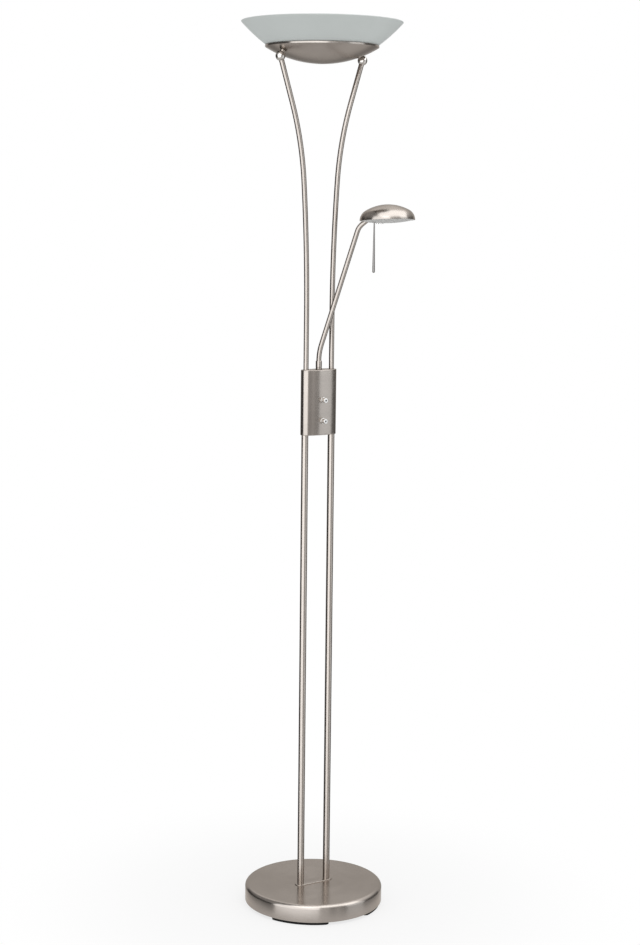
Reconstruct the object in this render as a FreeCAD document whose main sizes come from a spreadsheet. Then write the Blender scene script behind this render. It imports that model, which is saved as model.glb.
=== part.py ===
import FreeCAD, Part
import math
import os
import Sketcher

# Torchiere floor lamp with a reading arm.  Millimetres, +Z up, origin on the floor at the centre of
# the base.  The two poles stand along X and the controls face -Y.

Vector = FreeCAD.Vector
Rotation = FreeCAD.Rotation
Placement = FreeCAD.Placement
axis_x = Vector(1, 0, 0)
axis_y = Vector(0, 1, 0)
axis_z = Vector(0, 0, 1)

driving_sizes = {
    # overall
    "lamp_height": 1800.0,
    "base_radius": 142.5,
    "base_top": 41.4,
    # base
    "pad_height": 6.0,
    "pad_inset": 3.5,
    "pad_width": 18.0,
    "pad_half_angle": 22.5,
    "cover_wall": 1.2,
    "cover_round": 8.0,
    "ballast_gap": 0.5,
    "ballast_thickness": 14.0,
    "boss_radius": 7.0,
    "boss_inset": 32.5,
    "bottom_thickness": 2.0,
    "bottom_screw_radius": 2.0,
    "bottom_screw_head_radius": 4.0,
    "bottom_screw_head": 2.4,
    "bottom_screw_grip": 9.0,
    "inlet_radius": 5.0,
    "inlet_bore": 3.5,
    "inlet_height": 18.0,
    "grommet_lip": 1.6,
    "grommet_reach": 2.88,
    "foot_plate_reach": 12.0,
    "foot_plate_width": 22.0,
    "foot_plate_thickness": 1.6,
    # poles
    "pole_inset": 8.5,
    "upper_pole_inset": 9.7,
    "pole_radius": 7.0,
    "pole_wall": 1.2,
    "upper_pole_radius": 5.2,
    "upper_pole_wall": 1.0,
    "sway_rise": 112.0,
    "sway_shift": 9.0,
    "bend_drop": 310.0,
    "bend_radius": 650.0,
    "bend_lean": 17.6,
    "stud_radius": 5.0,
    "stud_bore": 3.0,
    "stud_plug": 12.0,
    "upper_stud_radius": 4.0,
    "upper_stud_bore": 2.5,
    "stud_past_nut": 2.0,
    "nut_height": 5.0,
    "nut_flats": 16.0,
    "box_nut_flats": 13.0,
    "washer_radius": 10.0,
    "washer_thickness": 1.5,
    "hole_clearance": 0.1,
    # control box
    "box_bottom": 984.0,
    "box_height": 132.0,
    "box_half_length": 40.0,
    "box_half_depth": 17.0,
    "box_end_radius": 13.0,
    "box_wall": 1.2,
    "cap_thickness": 3.0,
    "cap_round": 1.4,
    "flange_thickness": 1.5,
    "flange_gap": 0.5,
    "spine_inset": 18.0,
    "spine_setback": 10.0,
    "upper_knob_height": 1055.0,
    "lower_knob_height": 1013.0,
    "dimmer_width": 24.0,
    "dimmer_depth": 15.0,
    "dimmer_height": 24.0,
    "dimmer_front": 12.0,
    "bushing_radius": 4.2,
    "collar_radius": 6.2,
    "collar_depth": 2.6,
    "collar_chamfer": 0.78,
    "shaft_radius": 3.0,
    "running_clearance": 0.05,
    "knob_radius": 5.0,
    "knob_length": 8.9,
    "knob_gap": 0.5,
    "knob_neck": 4.4,
    "dimple_radius": 1.4,
    "dimple_depth": 1.3,
    "terminal_height": 1082.0,
    "terminal_depth": 9.0,
    "terminal_rise": 12.0,
    # reading arm
    "arm_turn": -45.0,
    "arm_radius": 5.0,
    "arm_wall": 1.0,
    "arm_lean": 17.3,
    "arm_foot_rise": 17.4,
    "arm_foot_bend": 110.0,
    "arm_run": 237.0,
    "arm_head_bend": 30.0,
    "arm_end_rise": 40.0,
    "arm_collar_radius": 6.3,
    "arm_collar_gap": 0.3,
    "arm_collar_shoulder": 1.5,
    "arm_collar_taper": 1.0,
    "arm_collar_round": 1.6,
    "bush_radius": 7.0,
    "bush_flange_radius": 10.0,
    "bush_flange": 2.0,
    "lock_ring_radius": 8.0,
    "lock_ring_height": 4.0,
    "friction_washer": 1.4,
    "stop_circle": 12.0,
    "stop_pin_radius": 1.5,
    "stop_spread": 79.8,
    # reading head, sizes from its pivot
    "pivot_reach": 24.0,
    "pivot_gap": 9.0,
    "head_roll": -4.1,
    "head_tilt": 2.9,
    "shade_reach": 32.4,
    "shade_drop": 9.0,
    "shade_radius": 55.0,
    "shade_height": 31.5,
    "shade_shoulder": 23.0,
    "shade_wall": 0.8,
    "notch_width": 13.0,
    "notch_height": 8.8,
    "notch_depth": 12.0,
    "lens_thickness": 2.5,
    "lens_sag": 5.0,
    "lens_gap": 0.6,
    "slot_past_pivot": 5.5,
    "eye_half_width": 4.0,
    "eye_radius": 5.0,
    "eye_gap": 0.3,
    "lead_turn_rise": 1.2,
    "swivel_stud_length": 14.0,
    "pivot_pin_radius": 2.0,
    "pivot_pin_head": 1.2,
    "ear_thickness": 1.5,
    "ear_gap": 0.3,
    "ear_reach": 6.0,
    "strip_height": 9.5,
    "strip_half_width": 7.0,
    "strip_back": 2.0,
    "strip_past_post": 14.0,
    "lug_half_width": 4.0,
    "post_radius": 3.0,
    "post_gap": 0.06,
    "lens_screw_near": 12.5,
    "lens_screw_far": 21.5,
    "lens_screw_radius": 1.6,
    "lens_screw_clearance": 0.3,
    "lens_screw_head_radius": 2.56,
    "lens_screw_head": 1.4,
    "lens_screw_seat": 2.72,
    "rod_reach": 11.4,
    "rod_side": 20.0,
    "rod_drop": 111.8,
    "rod_top_radius": 1.4,
    "rod_end_radius": 2.7,
    "rod_straight": 30.0,
    "rod_clearance": 1.2,
    "socket_start": 27.0,
    "socket_length": 14.0,
    "socket_margin": 1.0,
    "capsule_radius": 6.5,
    "capsule_length": 38.0,
    "capsule_height": 1.5,
    "capsule_neck": 1.5,
    "capsule_pinch": 6.0,
    "capsule_shoulder": 9.0,
    # bowl
    "pan_radius": 112.5,
    "pan_rim_drop": 46.4,
    "pan_band": 3.4,
    "pan_depth": 31.6,
    "pan_wall": 1.0,
    "ball_radius": 9.8,
    "ball_flat": 8.6,
    "spacer_thickness": 1.9,
    "spacer_radius": 4.5,
    "bowl_screw_radius": 3.0,
    "bowl_screw_head_radius": 4.8,
    "bowl_screw_head": 2.4,
    "lead_hole_radius": 1.6,
    "bowl_screw_grip": 7.0,
    "glass_radius": 159.5,
    "glass_foot_radius": 105.3,
    "glass_foot_drop": 49.6,
    "glass_curve": 350.0,
    "glass_wall": 5.4,
    "glass_foot_wall": 6.6,
    "glass_round": 1.5,
    "seat_inner_radius": 96.6,
    "seat_outer_radius": 106.4,
    "reflector_drop": 58.0,
    "reflector_radius": 94.0,
    "reflector_wall": 0.8,
    "bracket_thickness": 1.5,
    "bracket_half_width": 8.0,
    "bracket_drop": 2.3,
    "bracket_margin": 0.4,
    "holder_length": 12.0,
    "holder_width": 16.0,
    "holder_rise": 32.0,
    "lamp_drop": 38.0,
    "lamp_half_length": 58.8,
    "lamp_radius": 5.5,
    "lamp_pin_radius": 3.0,
    "lamp_pin_length": 2.5,
    "lamp_pin_clearance": 0.5,
    "lamp_end_radius": 4.2,
    "lamp_end_length": 13.0,
    "lamp_neck_radius": 2.6,
    "lamp_neck_rise": 2.0,
    "lamp_neck_length": 7.0,
    "holder_recess": 3.0,
}

doc = FreeCAD.newDocument("floor_lamp")
sheet = doc.addObject("Spreadsheet::Sheet", "Sizes")
for row, (alias, value) in enumerate(driving_sizes.items(), start=1):
    sheet.set("A%d" % row, alias)
    sheet.set("B%d" % row, str(value))
    sheet.setAlias("B%d" % row, alias)
doc.recompute()


class Size:
    """A length or angle: its number, and the expression that works it out from the sheet."""

    def __init__(self, number, text):
        self.number = float(number)
        self.text = text

    def __float__(self):
        return self.number

    def __add__(self, other):
        other = as_size(other)
        return Size(self.number + other.number, "(%s + %s)" % (self.text, other.text))

    def __sub__(self, other):
        other = as_size(other)
        return Size(self.number - other.number, "(%s - %s)" % (self.text, other.text))

    def __mul__(self, other):
        other = as_size(other)
        return Size(self.number * other.number, "(%s * %s)" % (self.text, other.text))

    def __truediv__(self, other):
        other = as_size(other)
        return Size(self.number / other.number, "(%s / %s)" % (self.text, other.text))

    def __neg__(self):
        return Size(-self.number, "(0 - %s)" % self.text)

    def __radd__(self, other):
        return as_size(other) + self

    def __rsub__(self, other):
        return as_size(other) - self

    def __rmul__(self, other):
        return as_size(other) * self


def as_size(value):
    if isinstance(value, Size):
        return value
    return Size(value, repr(float(value)))


def root(value):
    return Size(math.sqrt(value.number), "sqrt(%s)" % value.text)


def cosine(angle):
    return Size(math.cos(math.radians(angle.number)), "cos(%s)" % angle.text)


def sine(angle):
    return Size(math.sin(math.radians(angle.number)), "sin(%s)" % angle.text)


class Sizes:
    """The sheet's cells, as attributes."""

    def __getattr__(self, alias):
        return Size(sheet.get(alias), "Sizes." + alias)


size = Sizes()


# ---- sketching ----

def bind_point(sketch, geometry, end, across, up):
    """Fix one end of a sketch line or arc, or a circle's centre, at (across, up)."""
    for kind, value, axis in (("DistanceX", across, -2), ("DistanceY", up, -1)):
        value = as_size(value)
        if value.number == 0.0:
            sketch.addConstraint(Sketcher.Constraint("PointOnObject", geometry, end, axis))
        elif value.number > 0.0:
            index = sketch.addConstraint(Sketcher.Constraint(kind, -1, 1, geometry, end, value.number))
            sketch.setExpression("Constraints[%d]" % index, value.text)
        else:
            index = sketch.addConstraint(Sketcher.Constraint(kind, geometry, end, -1, 1, -value.number))
            sketch.setExpression("Constraints[%d]" % index, (-value).text)


def bind_radius(sketch, geometry, radius):
    index = sketch.addConstraint(Sketcher.Constraint("Radius", geometry, radius.number))
    sketch.setExpression("Constraints[%d]" % index, radius.text)


def draw_outline(sketch, corners):
    """A closed outline.  A corner is (across, up), or (across, up, radius) where the side that
    comes to it is an arc: it bulges left of the way it runs, or right if the radius is negative."""
    sides = []
    for index, corner in enumerate(corners):
        before = corners[index - 1]
        start = Vector(float(before[0]), float(before[1]), 0)
        end = Vector(float(corner[0]), float(corner[1]), 0)
        if len(corner) == 2:
            geometry = sketch.addGeometry(Part.LineSegment(start, end), False)
            sides.append((geometry, 1, 2))
            continue
        radius = as_size(corner[2])
        chord = end - start
        to_left = Vector(-chord.y, chord.x, 0).normalize()
        inward = to_left if radius.number < 0 else to_left * -1
        depth = math.sqrt(radius.number ** 2 - chord.Length ** 2 / 4)
        centre = (start + end) * 0.5 + inward * depth
        first, last = (start, end) if radius.number < 0 else (end, start)
        angles = [math.atan2(point.y - centre.y, point.x - centre.x) for point in (first, last)]
        circle = Part.Circle(centre, axis_z, abs(radius.number))
        geometry = sketch.addGeometry(Part.ArcOfCircle(circle, angles[0], angles[1]), False)
        sides.append((geometry, 1, 2) if radius.number < 0 else (geometry, 2, 1))
    for index, (geometry, start_end, end_end) in enumerate(sides):
        before = sides[index - 1]
        sketch.addConstraint(Sketcher.Constraint("Coincident", before[0], before[2], geometry, start_end))
        bind_point(sketch, geometry, end_end, corners[index][0], corners[index][1])
        if len(corners[index]) == 3:
            radius = as_size(corners[index][2])
            bind_radius(sketch, geometry, radius if radius.number > 0 else -radius)


def draw_circle(sketch, across, up, radius):
    centre = Vector(float(across), float(up), 0)
    geometry = sketch.addGeometry(Part.Circle(centre, axis_z, float(radius)), False)
    bind_point(sketch, geometry, 3, across, up)
    bind_radius(sketch, geometry, radius)


def new_body(name, plane_role):
    body = doc.addObject("PartDesign::Body", name)
    plane = next(f for f in body.Origin.OriginFeatures if f.Role == plane_role)
    sketch = body.newObject("Sketcher::SketchObject", name + "_sketch")
    sketch.AttachmentSupport = (plane, [""])
    sketch.MapMode = "FlatFace"
    return body, sketch


def turned(name, outline, height=0):
    """A turned piece: an outline of (radius, height) corners spun round the upright axis."""
    body, sketch = new_body(name, "XZ_Plane")
    draw_outline(sketch, outline)
    turn = body.newObject("PartDesign::Revolution", name + "_turn")
    turn.Profile = sketch
    turn.ReferenceAxis = (sketch, ["V_Axis"])
    turn.Angle = 360
    return lift(body, height)


def plate(name, outline, thickness, holes=(), height=0):
    """A flat piece: an outline or, if that is empty, the first circle, with round holes."""
    body, sketch = new_body(name, "XY_Plane")
    if outline:
        draw_outline(sketch, outline)
    for across, up, radius in holes:
        draw_circle(sketch, across, up, radius)
    pad = body.newObject("PartDesign::Pad", name + "_pad")
    pad.Profile = sketch
    pad.setExpression("Length", as_size(thickness).text)
    return lift(body, height)


# ---- placing and joining ----

def lift(item, height):
    if isinstance(height, Size):
        item.setExpression("Placement.Base.z", height.text)
    return item


def cylinder(name, radius, length, at=(0, 0, 0), turn=Rotation()):
    """A round bar whose foot is at a point, along Z unless turned."""
    item = doc.addObject("Part::Cylinder", name)
    item.Placement = Placement(Vector(*[float(value) for value in at]), turn)
    item.setExpression("Radius", as_size(radius).text)
    item.setExpression("Height", as_size(length).text)
    for letter, value in zip("xyz", at):
        if isinstance(value, Size):
            item.setExpression("Placement.Base." + letter, value.text)
    return item


def block(name, low, high):
    """A box between two corners."""
    item = doc.addObject("Part::Box", name)
    item.Placement.Base = Vector(*[float(value) for value in low])
    for letter, side, start, end in zip("xyz", ("Length", "Width", "Height"), low, high):
        item.setExpression(side, (as_size(end) - start).text)
        if isinstance(start, Size):
            item.setExpression("Placement.Base." + letter, start.text)
    return item


def fuse(name, *pieces):
    item = doc.addObject("Part::MultiFuse", name)
    item.Shapes = list(pieces)
    return item


def group(name, pieces):
    """Separate solids that share one node."""
    item = doc.addObject("Part::Compound", name)
    item.Links = list(pieces)
    return item


def cut(name, base, *tools):
    item = doc.addObject("Part::Cut", name)
    item.Base = base
    item.Tool = tools[0] if len(tools) == 1 else fuse(name + "_tools", *tools)
    return item


def formed(name, shape, placement=Placement()):
    """A piece whose shape is worked out here from the sheet's sizes."""
    item = doc.addObject("Part::Feature", name)
    item.Shape = shape
    item.Placement = placement
    return item


nodes = []


def node(item, name=None, placement=None):
    """Hand a piece over as a sub-part of its own."""
    item.Label = name or item.Name
    if placement is not None:
        item.Placement = placement
    nodes.append(item)
    return item


sides = (("left", -1), ("right", 1))
front_turn = Rotation(axis_x, 90)     # turns a piece's +Z to face -Y
down_turn = Rotation(axis_x, 180)
sideways_turn = Rotation(axis_y, 90)  # turns a piece's +Z to face +X
pole_offset = size.box_half_length - size.pole_inset
upper_pole_offset = size.box_half_length - size.upper_pole_inset
cutter_length = 40.0                  # long enough to pass right through any piece it is used on


def hexagon(across_flats):
    """Corners of a nut, flats facing +X and -X."""
    far = across_flats / math.sqrt(3)
    near = across_flats / 2
    return [(near, -far / 2), (near, far / 2), (0, far), (-near, far / 2), (-near, -far / 2), (0, -far)]


def nuts(name, across_flats, hole_radius, places):
    pieces = []
    for index, (across, height) in enumerate(places):
        holes = [(0, 0, hole_radius)]
        nut = plate("%s_%d" % (name, index), hexagon(across_flats), size.nut_height, holes, height)
        nut.setExpression("Placement.Base.x", across.text)
        pieces.append(nut)
    return node(group(name, pieces))


def stud(name, plug_radius, thread_radius, bore, thread_length):
    """A threaded hollow stud: a plug for the pole's end above 0, its thread below."""
    return turned(name, [
        (bore, -thread_length), (thread_radius, -thread_length), (thread_radius, 0),
        (plug_radius, 0), (plug_radius, size.stud_plug), (bore, size.stud_plug)])


def tube(name, outer_radius, inner_radius, length, at):
    body = plate(name, [], length, [(0, 0, outer_radius), (0, 0, inner_radius)], at[2])
    body.setExpression("Placement.Base.x", as_size(at[0]).text)
    return body


def oval_corners(half_length, half_depth, end_radius, inset):
    """An oval of two crowned long sides and two round ends, all tangent, drawn inset."""
    end_centre = half_length - end_radius
    crown = (end_centre * end_centre + half_depth * half_depth - end_radius * end_radius) / (
        (half_depth - end_radius) * 2)
    crown_centre = crown - half_depth
    spread = crown - end_radius
    radius = end_radius - inset
    across = end_centre + radius * end_centre / spread
    up = radius * crown_centre / spread
    side = crown - inset
    return [(across, -up, -side), (across, up, -radius), (-across, up, -side), (-across, -up, -radius)]


# ---- base ----

cover_inside = size.base_top - size.cover_wall
edge_start = size.base_top - size.cover_round
cover_inner_radius = size.base_radius - size.cover_wall
cover_shell = turned("base_cover_shell", [
    (size.base_radius, size.pad_height),
    (size.base_radius, edge_start),
    (size.base_radius - size.cover_round, size.base_top, -size.cover_round),
    (0, size.base_top),
    (0, cover_inside),
    (size.base_radius - size.cover_round, cover_inside),
    (cover_inner_radius, edge_start, size.cover_round - size.cover_wall),
    (cover_inner_radius, size.pad_height)])
stud_hole = size.stud_radius + size.hole_clearance
cover_holes = [cylinder("cover_hole_" + side, stud_hole, size.cover_wall * 3,
                        (pole_offset * sign, 0, size.base_top - size.cover_wall * 2))
               for side, sign in sides]
inlet_hole = cylinder("inlet_hole", size.inlet_radius, size.cover_round * 2,
                      (0, size.base_radius + size.cover_round, size.inlet_height), front_turn)
node(cut("base_cover", cover_shell, *cover_holes, inlet_hole))

ballast_bottom = cover_inside - size.ballast_thickness
bottom_top = size.pad_height + size.bottom_thickness
ballast_radius = size.base_radius - size.cover_round - size.ballast_gap
ballast_disc = cylinder("ballast_disc", ballast_radius, size.ballast_thickness, (0, 0, ballast_bottom))
boss_circle = size.base_radius - size.boss_inset
boss_angles = (30, 150, 270)
bosses = []
pilots = []
bottom_screws = []
screw_spots = []
for index, angle in enumerate(boss_angles):
    across = boss_circle * math.cos(math.radians(angle))
    along = boss_circle * math.sin(math.radians(angle))
    screw_spots.append((across, along, size.bottom_screw_radius + size.hole_clearance))
    bosses.append(cylinder("boss_%d" % index, size.boss_radius, ballast_bottom - bottom_top,
                           (across, along, bottom_top)))
    pilots.append(cylinder("pilot_%d" % index, size.bottom_screw_radius, size.bottom_screw_grip,
                           (across, along, bottom_top)))
    shank_length = size.bottom_screw_grip + size.bottom_thickness
    shank = cylinder("screw_shank_%d" % index, size.bottom_screw_radius, shank_length,
                     (across, along, size.pad_height))
    head = cylinder("screw_head_%d" % index, size.bottom_screw_head_radius, size.bottom_screw_head,
                    (across, along, size.pad_height - size.bottom_screw_head))
    bottom_screws.append(fuse("bottom_screw_%d" % index, shank, head))
ballast_holes = [cylinder("ballast_hole_" + side, stud_hole, size.ballast_thickness * 2,
                          (pole_offset * sign, 0, ballast_bottom - size.ballast_thickness / 2))
                 for side, sign in sides]
node(cut("ballast_weight", fuse("ballast_casting", ballast_disc, *bosses), *ballast_holes, *pilots))
node(group("bottom_screws", bottom_screws))

plate_radius = cover_inner_radius - size.hole_clearance * 4
node(plate("bottom_plate", [], size.bottom_thickness, [(0, 0, plate_radius)] + screw_spots, size.pad_height))

# Four arc-shaped pads, on the diagonals between the poles and the front.
pad_outer_radius = size.base_radius - size.pad_inset
pad_inner_radius = pad_outer_radius - size.pad_width
pad_cosine = cosine(size.pad_half_angle)
pad_sine = sine(size.pad_half_angle)
pads, pad_sketch = new_body("foot_pads", "XY_Plane")
pads.AllowCompound = True
pad_round = size.pad_width / 2
pad_tip_across = (pad_outer_radius - pad_round) * pad_cosine - pad_round * pad_sine
pad_tip_up = (pad_outer_radius - pad_round) * pad_sine + pad_round * pad_cosine
draw_outline(pad_sketch, [
    (pad_inner_radius * pad_cosine, -pad_inner_radius * pad_sine, pad_inner_radius),
    (pad_tip_across, -pad_tip_up, -pad_round),
    (pad_outer_radius * pad_cosine, -pad_outer_radius * pad_sine, -pad_round),
    (pad_outer_radius * pad_cosine, pad_outer_radius * pad_sine, -pad_outer_radius),
    (pad_tip_across, pad_tip_up, -pad_round),
    (pad_inner_radius * pad_cosine, pad_inner_radius * pad_sine, -pad_round)])
pad_block = pads.newObject("PartDesign::Pad", "foot_pad")
pad_block.Profile = pad_sketch
pad_block.setExpression("Length", size.pad_height.text)
doc.recompute()
pad_ring = pads.newObject("PartDesign::PolarPattern", "foot_pad_ring")
pad_ring.Originals = [pad_block]
pad_ring.Axis = (pad_sketch, ["N_Axis"])
pad_ring.Angle = 360
pad_ring.Occurrences = 4
pads.Tip = pad_ring
node(pads, placement=Placement(Vector(), Rotation(axis_z, 45)))

grommet_outer = size.base_radius + size.grommet_lip
grommet = turned("cable_grommet", [
    (size.inlet_bore, 0), (size.inlet_radius + size.grommet_lip, 0),
    (size.inlet_radius + size.grommet_lip, size.grommet_lip), (size.inlet_radius, size.grommet_lip),
    (size.inlet_radius, size.grommet_lip + size.grommet_reach),
    (size.inlet_bore, size.grommet_lip + size.grommet_reach)])
node(grommet, placement=Placement(Vector(0, float(grommet_outer), float(size.inlet_height)), front_turn))
grommet.setExpression("Placement.Base.y", grommet_outer.text)
grommet.setExpression("Placement.Base.z", size.inlet_height.text)

plate_end = size.foot_plate_width / 2
plate_tip = pole_offset + size.foot_plate_reach
plate_straight = plate_tip - plate_end
foot_plate_top = size.base_top + size.foot_plate_thickness
node(plate("pole_foot_plate", [
    (plate_straight, -plate_end), (plate_tip, 0, -plate_end), (plate_straight, plate_end, -plate_end),
    (-plate_straight, plate_end), (-plate_tip, 0, -plate_end), (-plate_straight, -plate_end, -plate_end)],
    size.foot_plate_thickness, [(pole_offset * sign, 0, stud_hole) for side, sign in sides],
    size.base_top))

washer_bottom = ballast_bottom - size.washer_thickness
base_nut_bottom = washer_bottom - size.nut_height
base_thread = foot_plate_top - base_nut_bottom + size.stud_past_nut
node(group("base_washers", [
    tube("base_washer_" + side, size.washer_radius, stud_hole, size.washer_thickness,
         (pole_offset * sign, 0, washer_bottom)) for side, sign in sides]))
nuts("base_nuts", size.nut_flats, size.stud_radius,
     [(pole_offset * sign, base_nut_bottom) for side, sign in sides])

# ---- lower poles ----

pole_bore = size.pole_radius - size.pole_wall
for side, sign in sides:
    node(tube("lower_pole_" + side, size.pole_radius, pole_bore, size.box_bottom - foot_plate_top,
              (pole_offset * sign, 0, foot_plate_top)))

cap_inside = size.box_bottom + size.cap_thickness
box_thread = size.cap_thickness + size.flange_thickness + size.nut_height + size.stud_past_nut
base_studs = []
box_studs = []
for side, sign in sides:
    low = stud("base_stud_" + side, pole_bore, size.stud_radius, size.stud_bore, base_thread)
    low.setExpression("Placement.Base.x", (pole_offset * sign).text)
    base_studs.append(lift(low, foot_plate_top))
    high = stud("box_stud_" + side, pole_bore, size.stud_radius, size.stud_bore, box_thread)
    high.Placement.Rotation = down_turn
    high.setExpression("Placement.Base.x", (pole_offset * sign).text)
    box_studs.append(lift(high, size.box_bottom))
node(group("base_studs", base_studs))
node(group("lower_pole_top_studs", box_studs))
nuts("lower_box_nuts", size.box_nut_flats, size.stud_radius,
     [(pole_offset * sign, cap_inside + size.flange_thickness) for side, sign in sides])

# ---- control box ----

box_top = size.box_bottom + size.box_height
cap_underside = box_top - size.cap_thickness
shell_height = size.box_height - size.cap_thickness * 2
box_oval = (size.box_half_length, size.box_half_depth, size.box_end_radius)
upper_stud_hole = size.upper_stud_radius + size.hole_clearance
bush_hole = size.bush_radius + size.hole_clearance


def oval_plate(name, inset, thickness, holes, height):
    return plate(name, oval_corners(*box_oval, inset), thickness, holes, height)


def box_cap(name, holes, height, rounded_face):
    """An end cap, its outer edge rounded on the face that shows."""
    body = oval_plate(name, 0, size.cap_thickness, holes, height)
    doc.recompute()
    pad = body.Tip
    level = float(size.cap_thickness) if rounded_face == "top" else 0.0
    picked = []
    for index, edge in enumerate(pad.Shape.Edges, start=1):
        on_face = all(abs(vertex.Z - level) < 1e-6 for vertex in edge.Vertexes)
        if on_face and len(edge.Vertexes) == 2:
            picked.append("Edge%d" % index)
    fillet = body.newObject("PartDesign::Fillet", name + "_round")
    fillet.Base = (pad, picked)
    fillet.setExpression("Radius", size.cap_round.text)
    body.Tip = fillet
    return node(body)


lower_stud_holes = [(pole_offset * sign, 0, stud_hole) for side, sign in sides]
upper_stud_holes = [(upper_pole_offset * sign, 0, upper_stud_hole) for side, sign in sides]
box_cap("box_bottom_cap", lower_stud_holes, size.box_bottom, "bottom")
box_cap("box_top_cap", upper_stud_holes + [(0, 0, bush_hole)], cap_underside, "top")

shell_body, shell_sketch = new_body("box_shell_tube", "XY_Plane")
draw_outline(shell_sketch, oval_corners(*box_oval, 0))
draw_outline(shell_sketch, oval_corners(*box_oval, size.box_wall))
shell_pad = shell_body.newObject("PartDesign::Pad", "box_shell_pad")
shell_pad.Profile = shell_sketch
shell_pad.setExpression("Length", shell_height.text)
lift(shell_body, cap_inside)
knob_heights = (("upper", size.upper_knob_height), ("lower", size.lower_knob_height))
shell_front = -size.box_half_depth
shell_holes = [cylinder("bushing_hole_" + name, size.bushing_radius + size.hole_clearance, size.box_wall * 6,
                        (0, shell_front + size.box_wall * 3, height), front_turn)
               for name, height in knob_heights]
node(cut("box_shell", shell_body, *shell_holes))

flange_inset = size.box_wall + size.flange_gap
flange_low = oval_plate("chassis_low_flange", flange_inset, size.flange_thickness,
                        lower_stud_holes, cap_inside)
flange_high = oval_plate("chassis_high_flange", flange_inset, size.flange_thickness,
                         upper_stud_holes + [(0, 0, bush_hole)], cap_underside - size.flange_thickness)
spine_half_width = size.box_half_length - size.spine_inset
spine = block("chassis_spine", (-spine_half_width, size.spine_setback, cap_inside),
              (spine_half_width, size.spine_setback + size.flange_thickness, cap_underside))
node(fuse("box_chassis", flange_low, flange_high, spine))

upper_nut_top = cap_underside - size.flange_thickness
nuts("upper_box_nuts", size.box_nut_flats, size.upper_stud_radius,
     [(upper_pole_offset * sign, upper_nut_top - size.nut_height) for side, sign in sides])

# Controls: a dimmer behind the shell, a collar on its bushing, and a knob on its shaft.
collar_face = shell_front - size.collar_depth
knob_back = collar_face - size.knob_gap
knob_bore_depth = size.knob_length - size.dimple_depth * 2
shaft_bore = size.shaft_radius + size.running_clearance
collars = []
for name, height in knob_heights:
    casing = block("dimmer_casing_" + name,
                   (-size.dimmer_width / 2, -size.dimmer_front, height - size.dimmer_height / 2),
                   (size.dimmer_width / 2, size.dimmer_depth - size.dimmer_front,
                    height + size.dimmer_height / 2))
    bushing = cylinder("dimmer_bushing_" + name, size.bushing_radius, -collar_face - size.dimmer_front,
                       (0, -size.dimmer_front, height), front_turn)
    bore = cylinder("dimmer_bore_" + name, shaft_bore, -collar_face, (0, 0, height), front_turn)
    node(cut(name + "_dimmer", fuse("dimmer_block_" + name, casing, bushing), bore))
    collar = turned("collar_" + name, [
        (size.bushing_radius, 0), (size.collar_radius, 0),
        (size.collar_radius, size.collar_depth - size.collar_chamfer),
        (size.collar_radius - size.collar_chamfer, size.collar_depth),
        (size.bushing_radius, size.collar_depth)])
    collar.Placement = Placement(Vector(0, float(shell_front), float(height)), front_turn)
    collar.setExpression("Placement.Base.y", shell_front.text)
    collar.setExpression("Placement.Base.z", height.text)
    collars.append(collar)
    knob = turned(name + "_knob", [
        (size.shaft_radius, 0), (size.knob_neck, 0), (size.knob_neck, size.knob_gap * 2),
        (size.knob_radius, size.knob_gap * 3), (size.knob_radius, size.knob_length - size.knob_gap * 2),
        (size.knob_radius - size.knob_gap * 2, size.knob_length), (size.dimple_radius, size.knob_length),
        (size.dimple_radius * 0.5, size.knob_length - size.dimple_depth),
        (0, size.knob_length - size.dimple_depth), (0, knob_bore_depth),
        (size.shaft_radius, knob_bore_depth)])
    node(knob, placement=Placement(Vector(0, float(knob_back), float(height)), front_turn))
    knob.setExpression("Placement.Base.y", knob_back.text)
    knob.setExpression("Placement.Base.z", height.text)
    shaft_start = size.dimmer_depth / 4
    node(cylinder(name + "_knob_shaft", size.shaft_radius, knob_bore_depth - knob_back - shaft_start,
                  (0, -shaft_start, height), front_turn))
node(group("control_collars", collars))

terminal_half_width = spine_half_width * 2 / 3
node(block("terminal_block",
           (-terminal_half_width, size.spine_setback - size.terminal_depth, size.terminal_height),
           (terminal_half_width, size.spine_setback, size.terminal_height + size.terminal_rise)))

# ---- bowl pan, glass and lamp ----

glass_top = size.lamp_height
pan_rim = glass_top - size.pan_rim_drop
pan_edge = pan_rim - size.pan_band
pan_bottom = pan_edge - size.pan_depth
pan_curve = (size.pan_radius * size.pan_radius + size.pan_depth * size.pan_depth) / (size.pan_depth * 2)
pan_centre = pan_bottom + pan_curve
pan_inner_curve = pan_curve - size.pan_wall
pan_inner_radius = size.pan_radius - size.pan_wall


def pan_inside(radius):
    """Height of the pan's inner face at a radius."""
    return pan_centre - root(pan_inner_curve * pan_inner_curve - radius * radius)


pan_dish = turned("pan_dish", [
    (0, pan_bottom), (size.pan_radius, pan_edge, -pan_curve), (size.pan_radius, pan_rim),
    (pan_inner_radius, pan_rim), (pan_inner_radius, pan_inside(pan_inner_radius)),
    (0, pan_bottom + size.pan_wall, pan_inner_curve)])

# An upper pole: upright, a slow sway outwards, a bend, then straight up to its ball.
lean = math.radians(float(size.bend_lean))
bend_radius = float(size.bend_radius)
sway_shift = float(size.sway_shift)
sway_length = float(glass_top - size.bend_drop - box_top - size.sway_rise)
sway_radius = (sway_length ** 2 + sway_shift ** 2) / (2 * sway_shift)
sway_lean = math.asin(sway_length / sway_radius)
pole_foot = Vector(float(upper_pole_offset), 0, float(box_top))
sway_foot = pole_foot + axis_z * float(size.sway_rise)


def along_arc(start, radius, lean_from, lean_to):
    """Where an arc that leans outwards ends, and its middle."""
    points = []
    for angle in ((lean_from + lean_to) / 2, lean_to):
        out = radius * (math.cos(lean_from) - math.cos(angle))
        rise = radius * (math.sin(angle) - math.sin(lean_from))
        points.append(start + Vector(out, 0, rise))
    return points


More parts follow.
